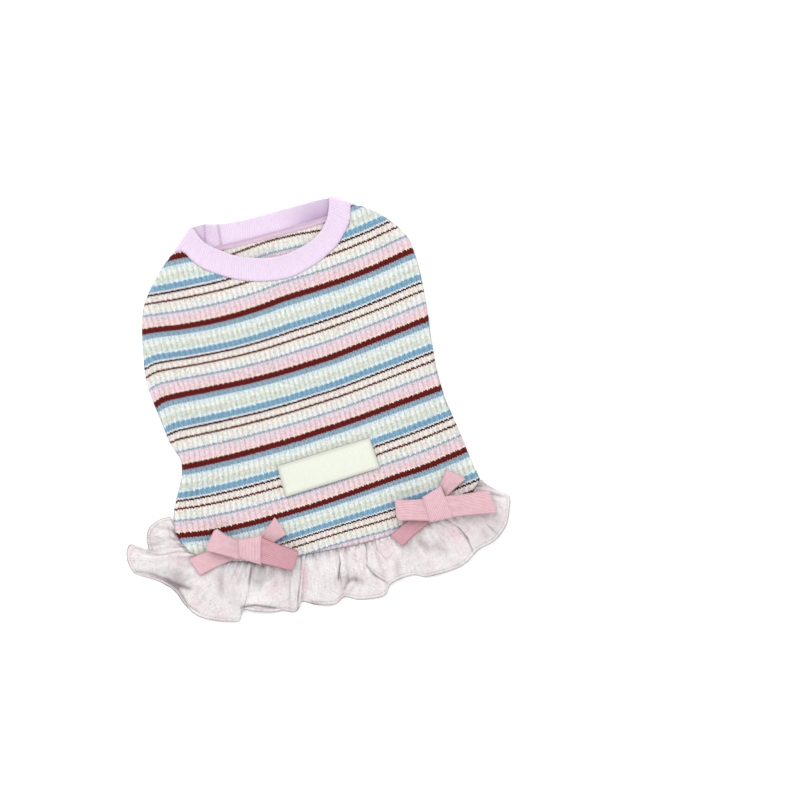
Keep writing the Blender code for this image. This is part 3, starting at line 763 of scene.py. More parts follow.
def tinted_and_shaded(tree, colour, tints_and_shades):
    """A colour multiplied by tints in turn: some are the cloth's own tone and pattern, others painted shade.

    Each tint's share is how far its value is above its least, times its strength, held between 0 and 1.
    """
    for value, least, strength, tint in tints_and_shades:
        share = add(tree, "Math", value, strength, -least * strength, operation="MULTIPLY_ADD")
        colour = add(tree, "Mix", share, colour, (*linear(tint), 1), data_type="RGBA", blend_type="MULTIPLY")
    return colour


def new_material(name):
    """A node material, its tree, its shader, and the Object coordinates that its noises use."""
    material = bpy.data.materials.new(name)
    material.use_nodes = True
    tree = material.node_tree
    return material, tree, tree.nodes["Principled BSDF"], add(tree, "TexCoord", result="Object")


def finish_cloth(tree, shader, colour, height, depth_mm, roughness, sheen):
    """Sets a cloth's colour, roughness, sheen and raised pattern, with only a faint gleam."""
    shader.inputs["Roughness"].default_value = roughness
    shader.inputs["Sheen Weight"].default_value = sheen
    shader.inputs["Sheen Roughness"].default_value = 0.5
    shader.inputs["Specular IOR Level"].default_value = 0.12
    tree.links.new(colour, shader.inputs["Base Color"])
    tree.links.new(add(tree, "Bump", 1.0, depth_mm * MM, None, height), shader.inputs["Normal"])


def rib_knit_material(colours):
    """Cotton rib knit, its stripes coloured in the yarn: matt and a little fuzzy, with jagged stripe edges.

    The stripes step with the stitches and ribs, and melange yarn is flecked with blue, pink and yellow grains
    1 to 2 mm wide. The stored third value paints shade into the rib valleys, the side folds' turn and the
    belly's pucker.
    """
    material, tree, shader, at = new_material("yarn_dyed_cotton_rib_knit")
    wale, course, valley = cloth_places(tree)
    stitch = RIB_PITCH / WALES_PER_RIB
    place = course
    for value, steps_mm in (
        (from_middle(tree, wale, stitch), 0.8),
        (from_middle(tree, wale, RIB_PITCH / 2), 1.8),
        (add(tree, "TexNoise", at, PER_MM / 1.6), 1.1),
        (valley, 0.45),
    ):
        place = add(tree, "Math", value, steps_mm, place, operation="MULTIPLY_ADD")
    for operation, other in (("SUBTRACT", MEAN_STEP), ("DIVIDE", STRIPE_REPEAT), ("FRACT", None)):
        place = add(tree, "Math", place, other, operation=operation)
    striped = add(tree, "ValToRGB", place)
    ramp = striped.node.color_ramp
    ramp.interpolation = "CONSTANT"
    while len(ramp.elements) < len(STRIPES):
        ramp.elements.new(1.0)
    for stop, (start, name) in zip(ramp.elements, STRIPES):
        stop.position = start / STRIPE_REPEAT
        stop.color = (*getattr(colours, name), 1)
    # Painted shade where the stored third value is high: rib valleys, the turn of the side folds, the belly's
    # pucker.
    tints_and_shades = [(valley, 0.0, 0.52, "#C6C2CA")]
    for grain_mm, *tint in (
        (1.0, 0.48, 1.4, "#C3BBAE"),
        (1.3, 0.50, 2.6, "#B6D4E6"),
        (1.6, 0.52, 2.6, "#F5C8D0"),
        (1.9, 0.52, 2.6, "#E9EBB4"),
        (7.0, 0.54, 0.8, "#E2E0DE"),
    ):
        tints_and_shades.append((add(tree, "TexNoise", at, PER_MM / grain_mm), *tint))
    stitches = knit_stitches(tree, wale, course, stitch, 0.9)
    finish_cloth(tree, shader, tinted_and_shaded(tree, striped, tints_and_shades), stitches, 0.28, 0.92, 0.03)
    return material


def fine_rib_material(colours):
    """Lilac cotton 1x1 rib, 1.5 mm to a rib: matt, with painted shade a little darker in the valleys between
    its ribs.
    """
    material, tree, shader, at = new_material("lilac_cotton_fine_rib")
    around, up, shade = cloth_places(tree)
    rib = wave(tree, around, 1.5)
    # Painted shade in the rib valleys, uneven tone, and the stored painted shade.
    tints_and_shades = (
        (rib, 1.0, -0.25, "#D9C6DF"),
        (add(tree, "TexNoise", at, PER_MM / 4.0), 0.0, 0.35, "#E6D6EC"),
        (shade, 0.0, 1.0, "#B9A3BE"),
    )
    colour = tinted_and_shaded(tree, (*colours.band, 1), tints_and_shades)
    stitches = add(tree, "Math", knit_stitches(tree, around, up, 0.75, 0.7), 0.4, operation="MULTIPLY")
    height = add(tree, "Math", rib, 0.8, stitches, operation="MULTIPLY_ADD")
    finish_cloth(tree, shader, colour, height, 0.3, 0.9, 0.2)
    return material


def woven_material(name, base, thread_mm, dark, depth_mm, crinkle):
    """Plain-woven cotton: two sets of threads that pass over each other, matt, a little uneven.

    The threads are drawn coarser than they are, as finer ones wouldn't show. Crinkle is how strongly a
    crepe's fine uneven creases show, from 0 for a flat cloth to 1. The stored shade is painted: above 0 grey
    shade, and below 0 a pink glow of light through the thin cloth.
    """
    material, tree, shader, at = new_material(name)
    along, down, shade = cloth_places(tree)
    warp = wave(tree, add(tree, "Math", along, down, operation="ADD"), thread_mm)
    weft = wave(tree, add(tree, "Math", along, down, operation="SUBTRACT"), thread_mm)
    both = add(tree, "Math", warp, weft, operation="MULTIPLY")
    gaps = [add(tree, "Math", 1.0, threads_up, operation="SUBTRACT") for threads_up in (warp, weft)]
    neither = add(tree, "Math", *gaps, operation="MULTIPLY")
    over = add(tree, "Math", both, neither, operation="MAXIMUM")
    tints_and_shades = [(over, 1.0, -0.5, dark), (add(tree, "TexNoise", at, PER_MM / 1.3), 0.0, 0.5, dark)]
    flecks = ((1.1, 0.50, 1.0, "#C2BBBE"), (2.4, 0.52, 1.6, "#D0C9CC"), (9.0, 0.48, 1.7, "#F0DDE3"))
    for grain_mm, least, strength, tint in flecks:
        tints_and_shades.append((add(tree, "TexNoise", at, PER_MM / grain_mm), least, strength * crinkle, tint))
    # Painted grey shade above 0, and painted pink of light through the cloth below 0.
    tints_and_shades += [(shade, 0.0, 1.0, "#A59CA0"), (shade, 0.0, -1.0, "#F2D3DC")]
    creases = add(tree, "TexNoise", at, PER_MM / 2.0)
    height = add(tree, "Math", creases, 2.0 * crinkle, over, operation="MULTIPLY_ADD")
    finish_cloth(tree, shader, tinted_and_shaded(tree, (*base, 1), tints_and_shades), height, depth_mm, 0.88, 0.1)
    return material


def ribbon_material(colours):
    """Dusty pink grosgrain ribbon: fine raised ribs 1 mm apart with painted shade between them, a faint satin
    gleam, darker edges.
    """
    material, tree, shader, at = new_material("polyester_grosgrain_ribbon")
    along, across, edge = cloth_places(tree)
    waver = add(tree, "Math", add(tree, "TexNoise", at, PER_MM / 9.0), 1.4, across, operation="MULTIPLY_ADD")
    rib = wave(tree, waver, 1.0)
    # Painted shade between the ribs, uneven tone, and the third value: darker edges plus each ribbon's
    # painted shade.
    tints_and_shades = (
        (rib, 1.0, -0.55, "#D79FAC"),
        (add(tree, "TexNoise", at, PER_MM / 3.0), 0.0, 0.5, "#E7B9C2"),
        (edge, 0.0, 1.0, "#C98F9B"),
    )
    weave = add(tree, "Math", wave(tree, along, 0.7), 0.25, rib, operation="MULTIPLY_ADD")
    finish_cloth(tree, shader, tinted_and_shaded(tree, (*colours.ribbon, 1), tints_and_shades), weave, 0.16, 0.62, 0.3)
    return material


def plain_material(name, code, grain_mm, strength, tint, roughness):
    """A material of one colour, made slightly uneven by noise."""
    material, tree, shader, at = new_material(name)
    uneven = (add(tree, "TexNoise", at, PER_MM / grain_mm), 0.0, strength, tint)
    tree.links.new(tinted_and_shaded(tree, (*linear(code), 1), [uneven]), shader.inputs["Base Color"])
    shader.inputs["Roughness"].default_value = roughness
    return material


def thread_material(name, code):
    """Spun polyester sewing thread: matt with a slight gleam."""
    return plain_material(name, code, 0.6, 1.0, "#D8D2D4", 0.6)


def table_material():
    """A plain white table: matt laminate."""
    return plain_material("white_matt_laminate", "#FFFFFF", 60.0, 0.05, "#F6F6F6", 0.8)


# ---------------------------------------------------------------- what a user can change


def colour_property(name, description, code):
    """A colour that a user can change."""
    return bpy.props.FloatVectorProperty(
        name=name, description=description, default=linear(code), size=3, min=0, max=1, subtype="COLOR"
    )


def length_property(name, description, value, low, high):
    """A length that a user can change, in metres."""
    value, low, high = value * MM, low * MM, high * MM
    return bpy.props.FloatProperty(
        name=name, description=description, default=value, min=low, max=high, unit="LENGTH", precision=5
    )


class DressColours(bpy.types.PropertyGroup):
    """The dress's colours."""

    maroon: colour_property("Maroon", "The widest dark stripe", "#661108")
    slate: colour_property("Slate blue", "The stripe below the maroon one", "#8CA8BB")
    sky: colour_property("Sky blue", "The bright blue stripe", "#7BA7C2")
    mint: colour_property("Mint melange", "The pale green-grey stripe", "#D6DDD1")
    mint_white: colour_property("Mint white", "The pale stripe's lighter part", "#E3E9E3")
    aqua_white: colour_property("Aqua white", "Beside the blue stripes", "#D8E6E8")
    white: colour_property("White", "The plain ground", "#E4E7E6")
    cream: colour_property("Cream", "The warm ground", "#E8E7DF")
    cream_pink: colour_property("Cream pink", "Between the two brown lines", "#E9E3DC")
    brown: colour_property("Brown", "The upper thin dark line", "#42191B")
    russet: colour_property("Russet", "The lower thin dark line", "#62271D")
    grey_blue: colour_property("Grey blue", "The thin pale line", "#96AFBE")
    lavender_pink: colour_property("Lavender pink", "The pink stripe's upper part", "#E4D2DA")
    blush: colour_property("Blush", "The pink stripe's lower part", "#EDCDCF")
    band: colour_property("Neck band", "The lilac rib", "#D9CBDB")
    ruffle: colour_property("Ruffle", "The pale woven cloth", "#EDECEB")
    ribbon: colour_property("Ribbon", "The dusty pink bows", "#D0B9BE")
    label: colour_property("Label", "The off-white patch", "#DADDD6")


class DressSizes(bpy.types.PropertyGroup):
    """Sizes of what is finer than the solids."""

    rib_rise: length_property("Rib rise", "How high the ribs stand above their valleys", 0.55, 0.1, 1.5)
    pucker_rise: length_property("Pucker rise", "How high the ruffle's gathers stand", 0.95, 0.0, 2.0)
    hem_roll: length_property("Rolled hem", "How wide the ruffle's rolled edge is", 2.2, 0.5, 6.0)
    stitch: length_property("Stitch", "How long a stitch on the label is", 2.4, 0.8, 5.0)
    frame_width: length_property("Frame width", "How wide the picture is", 500.0, 300.0, 900.0)


# ---------------------------------------------------------------- pieces


def back_panel_points(per_rib, rows):
    """A grid over the back panel: wales across, and even shares of the way from the hem to the neck."""
    wale = back_wales(per_rib)
    share = np.linspace(0, 1, rows + 1)[:, None]
    y = lerp(hem_of(wale), back_top(wale), share)
    wales = np.broadcast_to(wale, y.shape)
    middle, out = knit(wales * spread(y, wales), y)
    return wales, y, middle, out


def rib_wave(wale):
    """A rib's section, 0 in a narrow valley and 1 on its broad crest: a cosine raised to a low power."""
    phase = (wale - BACK_LEFT_WALE) / RIB_PITCH
    return (0.5 - 0.5 * np.cos(2 * np.pi * phase)) ** 0.4


class DRESS_OT_back_panel(bpy.types.Operator):
    """Make the striped rib-knit back panel, wrapped round both side folds"""

    bl_idname = "dress.back_panel"
    bl_label = "Back Panel"

    def execute(self, context):
        sizes = context.scene.dress_sizes
        wale, y, middle, out = back_panel_points(6, 120)
        x = middle[..., 0]
        # Half the wall's thickness outward, plus the ribs' wave, which fades round the side folds.
        fade = np.clip(out[..., 2] * 1.5 + 0.35, 0, 1)
        rib = rib_wave(wale)
        uneven = 1 + 0.18 * ripple(wale, y * 0.4, 3, 14)
        lift = KNIT / 2 + sizes.rib_rise / MM * rib * fade * uneven
        outer = middle + out * lift[..., None]
        inner = middle - out * (KNIT / 2 - 0.1 * rib * fade)[..., None]
        course = maroon_place(x, y)
        # Painted shade: in the rib valleys outside and inside, and a dark rim where the wall turns round the
        # side folds.
        rim = 1.8 * np.clip(1 - np.abs(out[..., 2]) / 0.8, 0, 1)
        places = stacked(wale, course, (1 - rib) * fade + rim)
        inner_places = stacked(wale, course, rib * fade)
        material = rib_knit_once(context)
        item = shell("back_panel_knit", outer, inner, places, inner_places, material)
        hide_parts("back_panel")
        return {"FINISHED"}


def rib_knit_once(context):
    """The striped knit, made once."""
    found = bpy.data.materials.get("yarn_dyed_cotton_rib_knit")
    return found or rib_knit_material(context.scene.dress_colours)


def belly_edge(y, side):
    """The belly panel's side edge: beside the side seam, less a notch at the leg hole.

    The notch is a flattened half round: its width times the 0.7th power of one less the offset squared.
    """
    start, radius = fold_start(y, side)
    last = np.abs(back_wales(2)[0 if side < 0 else -1])
    reach = np.minimum(side_seam(y, side), last) * spread(y, side) - start - np.pi * radius
    off = np.clip(np.abs(y - LEG_HOLE_MIDDLE) / (LEG_HOLE_LENGTH / 2), 0, 1)
    return side * (start - reach - SIDE_GAP - LEG_HOLE_WIDTH * (1 - off**2) ** 0.7)


class DRESS_OT_belly_panel(bpy.types.Operator):
    """Make the belly panel, flat underneath, with its leg holes"""

    bl_idname = "dress.belly_panel"
    bl_label = "Belly Panel"

    def execute(self, context):
        u = np.linspace(0, 1, 241)[None, :]
        v = np.linspace(0, 1, 121)[:, None]
        top = neck_seam(lerp(-42.0, 43.0, u), BAND_BELLY)
        y = lerp(BELLY_HEM + 0 * u, top, v)
        x = lerp(belly_edge(y, -1.0), belly_edge(y, 1.0), u)
        rib = rib_wave(x)
        # Flat, with low ribs. What the neck shows has a long fold, and a pucker with rays, by bell curves.
        near_neck = step_up(y, 78, 90)
        fold = bell(y - 97.2 + 0.06 * (x + 10), 0.9) * step_up(-x, -14, 22)
        pucker = 0.55 * bell(x - 3, 1.6) * bell(y - 90, 1.4)
        rays = np.cos(5 * np.arctan2(y - 89.7, x - 3)) * bell(x + 2, 6.0) * bell(y - 89, 3.0)
        rise = 0.16 * rib + near_neck * (0.3 * fold - pucker + 0.3 * rays)
        low = stacked(x, y, 0.0)
        high = stacked(x, y, KNIT - 0.16 + rise)
        russet_line = 94.5 + 1.6 * np.sin((x + 18) / 16)
        russet_start = next(start for start, name in STRIPES if name == "russet")
        course = russet_start + 0.5 + russet_line - y
        # Painted shade in the rib valleys and in the pucker and its rays.
        valley = 0.8 * (1 - rib) + near_neck * (1.2 * pucker + 0.6 * np.abs(rays))
        places = stacked(x, course, valley)
        material = rib_knit_once(context)
        item = shell("belly_panel_knit", high, low, places, places, material)
        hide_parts("belly_panel")
        return {"FINISHED"}


def band_ring(t, steps):
    """The neck band's middle once round, at the share t of the way from its seam to its free edge.

    The back half lies above the belly half, and each fold is a half circle between them.
    """
    radius = lerp(BAND_SEAM_RADIUS, BAND_FREE_RADIUS, t)
    low = BAND / 2
    halves = []
    for half, count in ((BAND_BACK, steps[0]), (BAND_BELLY, steps[1])):
        x = lerp(half["seam_x"], half["free_x"], t)
        y = lerp(half["seam_y"], half["free_y"], t)
        length = np.concatenate([[0], np.cumsum(np.hypot(np.diff(x), np.diff(y)))])
        at = np.linspace(0, length[-1], count)
        halves.append(stacked(smooth(at, length, x), smooth(at, length, y)))
    back, belly = halves
    turn = np.linspace(0, np.pi, steps[2] + 2)[1:-1, None]
    folds = []
    for end in (back[-1], back[0]):
        outward = np.array([np.sign(end[0]), BAND_FOLD_SLANT])
        outward = outward / np.linalg.norm(outward)
        bulge = outward * radius * np.sin(turn) * lerp(0.1, 0.6, step_up(t, 0, 0.3))
        folds.append(np.hstack([end + bulge, low + radius * (1 + np.cos(turn))]))
    high_half = np.hstack([back, np.full((len(back), 1), low + 2 * radius)])
    low_half = np.hstack([belly, np.full((len(belly), 1), low)])
    return np.concatenate([high_half, folds[0], low_half, folds[1][::-1]])


class DRESS_OT_neck_band(bpy.types.Operator):
    """Make the lilac neck band, with the seams that join it"""

    bl_idname = "dress.neck_band"
    bl_label = "Neck Band"

    def execute(self, context):
        rows, steps = 26, (260, 120, 10)
        share = np.linspace(0, 1, rows + 1)
        middle = np.stack([band_ring(t, steps) for t in share])
        t = share[:, None]
        run = np.linalg.norm(np.diff(middle, axis=1, append=middle[:, :1]), axis=2)
        around = np.cumsum(run[rows // 2]) - run[rows // 2][0]
        around = np.minimum(around, around[-1] - around)[None, :]
        up = BAND_HEIGHT * t
        half = grid_normals(middle, closed=True)
        half = half * np.sign(half[rows // 2, steps[0] // 2, 2])
        pucker = 0.16 * np.sin(around * 2 * np.pi / 5.2 + 2 * np.sin(around / 9)) * (1 - t) ** 2
        # Half the band's thickness each way, rounded over at both edges by the root of one less a 12th power.
        edge_round = np.sqrt(np.clip(1 - ((t - 0.5) * 2) ** 12, 0.06, 1))
        thick = BAND / 2 * edge_round
        free_roll = 0.22 * bell(t - 0.93, 0.07)
        seam_dip = 0.18 * bell(t - 0.03, 0.04)
        # The band's own seam lies in its belly half: a puckered strip between two stitched dips.
        x, y = middle[..., 0], middle[..., 1]
        under = middle[..., 2] < BAND
        join = under * bell(x + 31.5, 5.5, 6)
        puckers = join * (0.3 + 0.16 * np.sin(2 * np.pi * (y - 0.4 * x) / 2.3) + 0.12 * ripple(x, y, 12, 3.0))
        dips = under * (bell(x + 27 - 0.1 * (y - 101), 0.7) + bell(x + 37 - 0.2 * (y - 101), 0.7))
        lift = thick + free_roll + pucker - seam_dip
        outer = middle + half * np.where(under, thick, lift)[..., None]
        inner = middle - half * (thick + puckers - 0.25 * dips)[..., None]
        outer[..., 2] = np.maximum(outer[..., 2], 0)
        # Painted shade: a thin line along the seam outside; inside, the seam, the stitched dips, and the
        # shadow that falls inside the neck towards both folds, most to the right and low.
        places = stacked(around, up, 0.12 * bell(t, 0.04))
        inside = 0.1 * bell(t, 0.25) + 0.5 * dips + under * step_up(x, 8, 36) * lerp(0.8, 0.2, t)
        inside = inside + 0.25 * under * step_up(-x, 20, 40)
        inner_places = stacked(around, up, inside)
        material = fine_rib_material(context.scene.dress_colours)
        item = shell("neck_band_rib", outer, inner, places, inner_places, material, closed=True)
        self.stitches()
        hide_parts("neck_band")
        return {"FINISHED"}

    def stitches(self):
        """The overlock threads along the belly seam, which show inside the neck, and the join's stitches."""
        order = np.argsort(BAND_BELLY["seam_x"])
        x = np.arange(-42.0, 48.0, 0.5)
        seam = smooth(x, BAND_BELLY["seam_x"][order], BAND_BELLY["seam_y"][order])
        zigzag = np.where(np.arange(len(x)) % 2, 0.9, -1.7)
        height = np.where(np.arange(len(x)) % 2, 1.82, 1.62)
        paths = [stacked(x, seam + zigzag, height)]
        for off, z in ((-2.1, 1.5), (-1.6, 1.62), (-1.1, 1.7), (-0.6, 1.76), (0.0, 1.8), (0.7, 1.82)):
            paths.append(stacked(x, seam + off, z + 0.12 + 0.05 * np.sin(x * 4.8)))
        for start, end in (((-27.0, 101.4), (-25.8, 112.0)), ((-37.0, 102.2), (-34.6, 112.8))):
            for k in range(6):
                t = (k + np.linspace(0.1, 0.8, 5)) / 6
                line = lerp(np.array(start), np.array(end), t[:, None])
                paths.append(np.column_stack([line, 1.72 + 0.22 * np.sin(np.linspace(0, np.pi, 5))]))
        thread = thread_material("lilac_overlock_thread", "#D3BBD0")
        threads("neck_overlock", paths, 0.28, thread)


def hem_line(count):
    """Points on the back panel's hem, how far along it each is on the ruffle's scale, and outward ways."""
    arc = np.linspace(*RUFFLE_ENDS, count)
    points = knit(arc, smooth(arc, HEM["arc"], HEM["y"]))[0]
    along = np.concatenate([[0], np.cumsum(np.linalg.norm(np.diff(points, axis=0), axis=1))])
    ahead = np.gradient(points[:, :2], axis=0)
    ahead = ahead / np.linalg.norm(ahead, axis=1, keepdims=True)
    outward = stacked(ahead[:, 1], -ahead[:, 0])
    return points, along * FOLDS["along"][-1] / along[-1], outward


def ruffle_middle(steps_per_fold, rows):
    """The ruffle's middle: straight lines in plan from the hem to the folded edge, in smooth waves.

    Its height runs from the seam's to the edge's, plus a parabola that meets the middle's height.
    """
    points, along, outward = hem_line(1600)
    ends = np.arange(len(FOLDS["along"]), dtype=float)
    at = np.linspace(0, ends[-1], steps_per_fold * int(ends[-1]) + 1)
    folds = {name: smooth(at, ends, values) for name, values in FOLDS.items()}
    seam = stacked(*(np.interp(folds["along"], along, values) for values in points.T))
    away = stacked(*(np.interp(folds["along"], along, values) for values in outward.T))
    from_end = np.minimum(folds["along"], FOLDS["along"][-1] - folds["along"])
    clear = SEAM_CLOSE + END_CLEARANCE * np.exp(-from_end / END_REACH)
    start = seam.copy()
    start[:, :2] += away * clear[:, None]
    edge = stacked(folds["edge_x"], folds["edge_y"], folds["edge_z"])
    share = np.linspace(0, 1, rows + 1)[:, None]
    middle = lerp(start, edge, share[..., None])
    # The left end's notch dips by 6 mm: 6.75 s squared times one less s is at most 1.
    middle[..., 1] -= 6.0 * bell(folds["along"] - 17.0, 3.2) * 6.75 * share**2 * (1 - share)
    rise = folds["middle_z"] - lerp(start[:, 2], folds["edge_z"], RUFFLE_MIDDLE)
    pucker = np.sin(2 * np.pi * folds["along"] / PUCKER_PITCH) * share * (1 - share) ** 2 * 6
    middle[..., 2] += 4 * rise * share * (1 - share) + PUCKER_RISE * pucker
    middle[..., 2] += creased(middle[..., 0], middle[..., 1], RUFFLE_CREASES) * step_up(share, 0, 0.08)
    low, soft = RUFFLE / 2, 0.5
    middle[..., 2] = low + soft * np.logaddexp(0, (middle[..., 2] - low) / soft)
    return middle, folds["along"] + 0 * share, share + 0 * folds["along"]


class DRESS_OT_hem_ruffle(bpy.types.Operator):
    """Make the gathered hem ruffle with its rolled edge"""

    bl_idname = "dress.hem_ruffle"
    bl_label = "Hem Ruffle"

    def execute(self, context):
        sizes = context.scene.dress_sizes
        middle, along, share = ruffle_middle(16, 60)
        depth = np.linalg.norm(middle[-1] - middle[0], axis=-1)[None, :]
        from_edge = depth * (1 - share)
        from_seam = depth * share
        # Fine and long gathers are sines along the seam that fade from it by bell curves.
        fine = 0.5 + 0.5 * np.sin(2 * np.pi * along / 2.3 + 1.9 * np.sin(along / 4.1))
        long = 0.5 + 0.5 * np.sin(2 * np.pi * along / 5.3 + 2.3 * np.sin(along / 7.7))
        reach = 7 + 4 * np.sin(along / 9.0)
        gather = 0.55 * fine * bell(from_seam, 4.0) + long * bell(from_seam, reach)
        gather = sizes.pucker_rise / MM * gather * step_up(share, 0, 0.04)
        hem_roll = sizes.hem_roll / MM
        roll = bell(from_edge - hem_roll / 2, hem_roll * 0.45)
        normal = -grid_normals(middle)
        long_way = 0.6 * np.sin(along / 1.9 + 3 * share) * np.sin(along / 6.1 - 2 * share)
        crinkle = 0.22 * long_way + 0.16 * ripple(along * 2.2, from_seam * 0.5, 21, 9)
        crinkle = crinkle * step_up(share, 0.02, 0.3)
        crinkle = crinkle + 0.2 * ripple(along * 1.6, from_edge, 5, 5.5) * bell(from_edge, 4.5)
        middle[..., 2] = np.maximum(middle[..., 2] + crinkle, 0.45)
        thin = RUFFLE / 2 - 0.2 + 0.16 * roll
        high = middle + normal * (thin + gather)[..., None]
        low = middle - normal * (thin - 0.3 * gather)[..., None]
        high[..., 2] = np.maximum(high[..., 2], 0.3)
        low[..., 2] = np.maximum(low[..., 2], 0.0)
        # Painted shade at the edge's rim, by the seam, in the hollows of creases and gathers, in streaks for
        # fine wrinkles and in random greyer patches, plus the edge's darker stitch line.
        hollow = np.clip(-creased(middle[..., 0], middle[..., 1], RUFFLE_CREASES) / 2.4, 0, 1)
        valley = (1 - fine) * bell(from_seam, 4.0) + (1 - long) * bell(from_seam, reach)
        streak = (0.5 + 0.5 * np.sin(2 * np.pi * along / 3.1 + 2.5 * np.sin(along / 5.3) + 2.2 * share)) ** 5
        streak = streak * step_up(share, 0.05, 0.25) * step_up(1 - share, 0.1, 0.4)
        streak = 0.3 * streak * np.clip(ripple(along, from_seam * 0.7, 17, 24) + 0.15, 0, 0.6) / 0.6
        cloud = 0.3 * np.clip(ripple(along * 0.8, from_seam * 0.6, 33, 18), 0, 1)
        shade = 0.35 * bell(from_edge - hem_roll, 0.4) + 0.9 * bell(from_edge, 0.5)
        shade = shade + 0.3 * bell(from_seam, 2.5) + 0.75 * hollow + 0.35 * valley + streak + cloud
        # The table's bells take painted shade away, paint pink, or paint more grey shade.
        shade = shade - bells(middle[..., 0], middle[..., 1], RUFFLE_PAINTED_SHADES)
        row = middle[len(middle) // 2]
        stretch = np.cumsum(np.linalg.norm(np.diff(row, axis=0, prepend=row[:1]), axis=1))
        places = stacked(stretch, from_seam, shade)
        cloth = ("pale_cotton_crepe", tuple(context.scene.dress_colours.ruffle), 1.7, "#CBC0C4", 0.3, 1.0)
        item = shell("hem_ruffle_crepe", high, low, places, places, woven_material(*cloth))
        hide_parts("hem_ruffle")
        return {"FINISHED"}


def label_points(u, v):
    """A place on the label: its four corners mixed by shares across and up."""
    x, y = LABEL_CORNERS["x"], LABEL_CORNERS["y"]
    at_x = lerp(lerp(x[0], x[1], u), lerp(x[3], x[2], u), v)
    at_y = lerp(lerp(y[0], y[1], u), lerp(y[3], y[2], u), v)
    under = knit(at_x, at_y)[0][..., 2] + KNIT / 2 + 0.45 + SEAM_GAP
    return stacked(at_x, at_y, under)


class DRESS_OT_label(bpy.types.Operator):
    """Make the bare off-white label and the stitches round it"""

    bl_idname = "dress.label"
    bl_label = "Label"

    def execute(self, context):
        sizes = context.scene.dress_sizes
        wide, tall = LABEL_SIZE
        u = np.linspace(0, 1, 97)[None, :]
        v = np.linspace(0, 1, 33)[:, None]
        low = label_points(u, v)
        rim = np.minimum(np.minimum(u, 1 - u) * wide, np.minimum(v, 1 - v) * tall)
        # A flat patch whose rim rounds off by an exponential, with a dent along its stitches.
        soft = 1 - np.exp(-rim / 0.5)
        dent = 0.12 * bell(rim - LABEL_SEAM, 0.5)
        cockle = 0.12 * ripple(low[..., 0], low[..., 1], 8, 26)
        high = low + np.array([0, 0, 1.0]) * (0.55 + 0.4 * soft - dent + cockle)[..., None]
        # Painted shade darkens the rounded rim and the dent along the stitches.
        places = stacked(u * wide, v * tall, 0.8 * (1 - soft) + 1.4 * dent)
        colour = tuple(context.scene.dress_colours.label)
        cloth = ("off_white_cotton_twill_tape", colour, 0.8, "#DFE0D2", 0.1, 0.0)
        item = shell("label_patch", high, low, places, places, woven_material(*cloth))
        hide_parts("label")
        step = sizes.stitch / MM
        paths = []
        for start, end in (((0, 0), (1, 0)), ((1, 0), (1, 1)), ((1, 1), (0, 1)), ((0, 1), (0, 0))):
            inset = LABEL_SEAM / np.array(LABEL_SIZE)
            a = inset + np.array(start) * (1 - 2 * inset)
            b = inset + np.array(end) * (1 - 2 * inset)
            length = np.hypot(*((b - a) * LABEL_SIZE))
            count = int(length / (step + 0.8))
            for k in range(count):
                t = (k + np.linspace(0.12, 0.88, 5)) / count
                places = lerp(a, b, t[:, None])
                path = label_points(places[:, 0], places[:, 1])
                path[:, 2] += 0.86 + 0.16 * np.sin(np.linspace(0, np.pi, 5))
                paths.append(path)
        thread = thread_material("off_white_sewing_thread", "#D7D7CD")
        threads("label_stitches", paths, 0.17, thread)
        return {"FINISHED"}


def ribbon_path(item, steps):
    """How far out and how high a tail or loop's middle runs: a line, and on a loop a half circle and back."""
    run = np.linspace(0, 1, steps)
    low = lerp(item.root_z, item.far_z, run)
    if not item.loop:
        return run, low
    length = np.linalg.norm(item.far.mean(axis=0) - item.root.mean(axis=0))
    radius = item.loop / 2
    reach = 1 - radius / length
    turn = np.linspace(0, np.pi, 12)[1:-1]
    back = low + item.loop + LOOP_PUFF * np.sin(np.pi * run)
    out = np.concatenate([run * reach, reach + radius / length * np.sin(turn), (run * reach)[::-1]])
    return out, np.concatenate([low, item.far_z + radius * (1 - np.cos(turn)), back[::-1]])


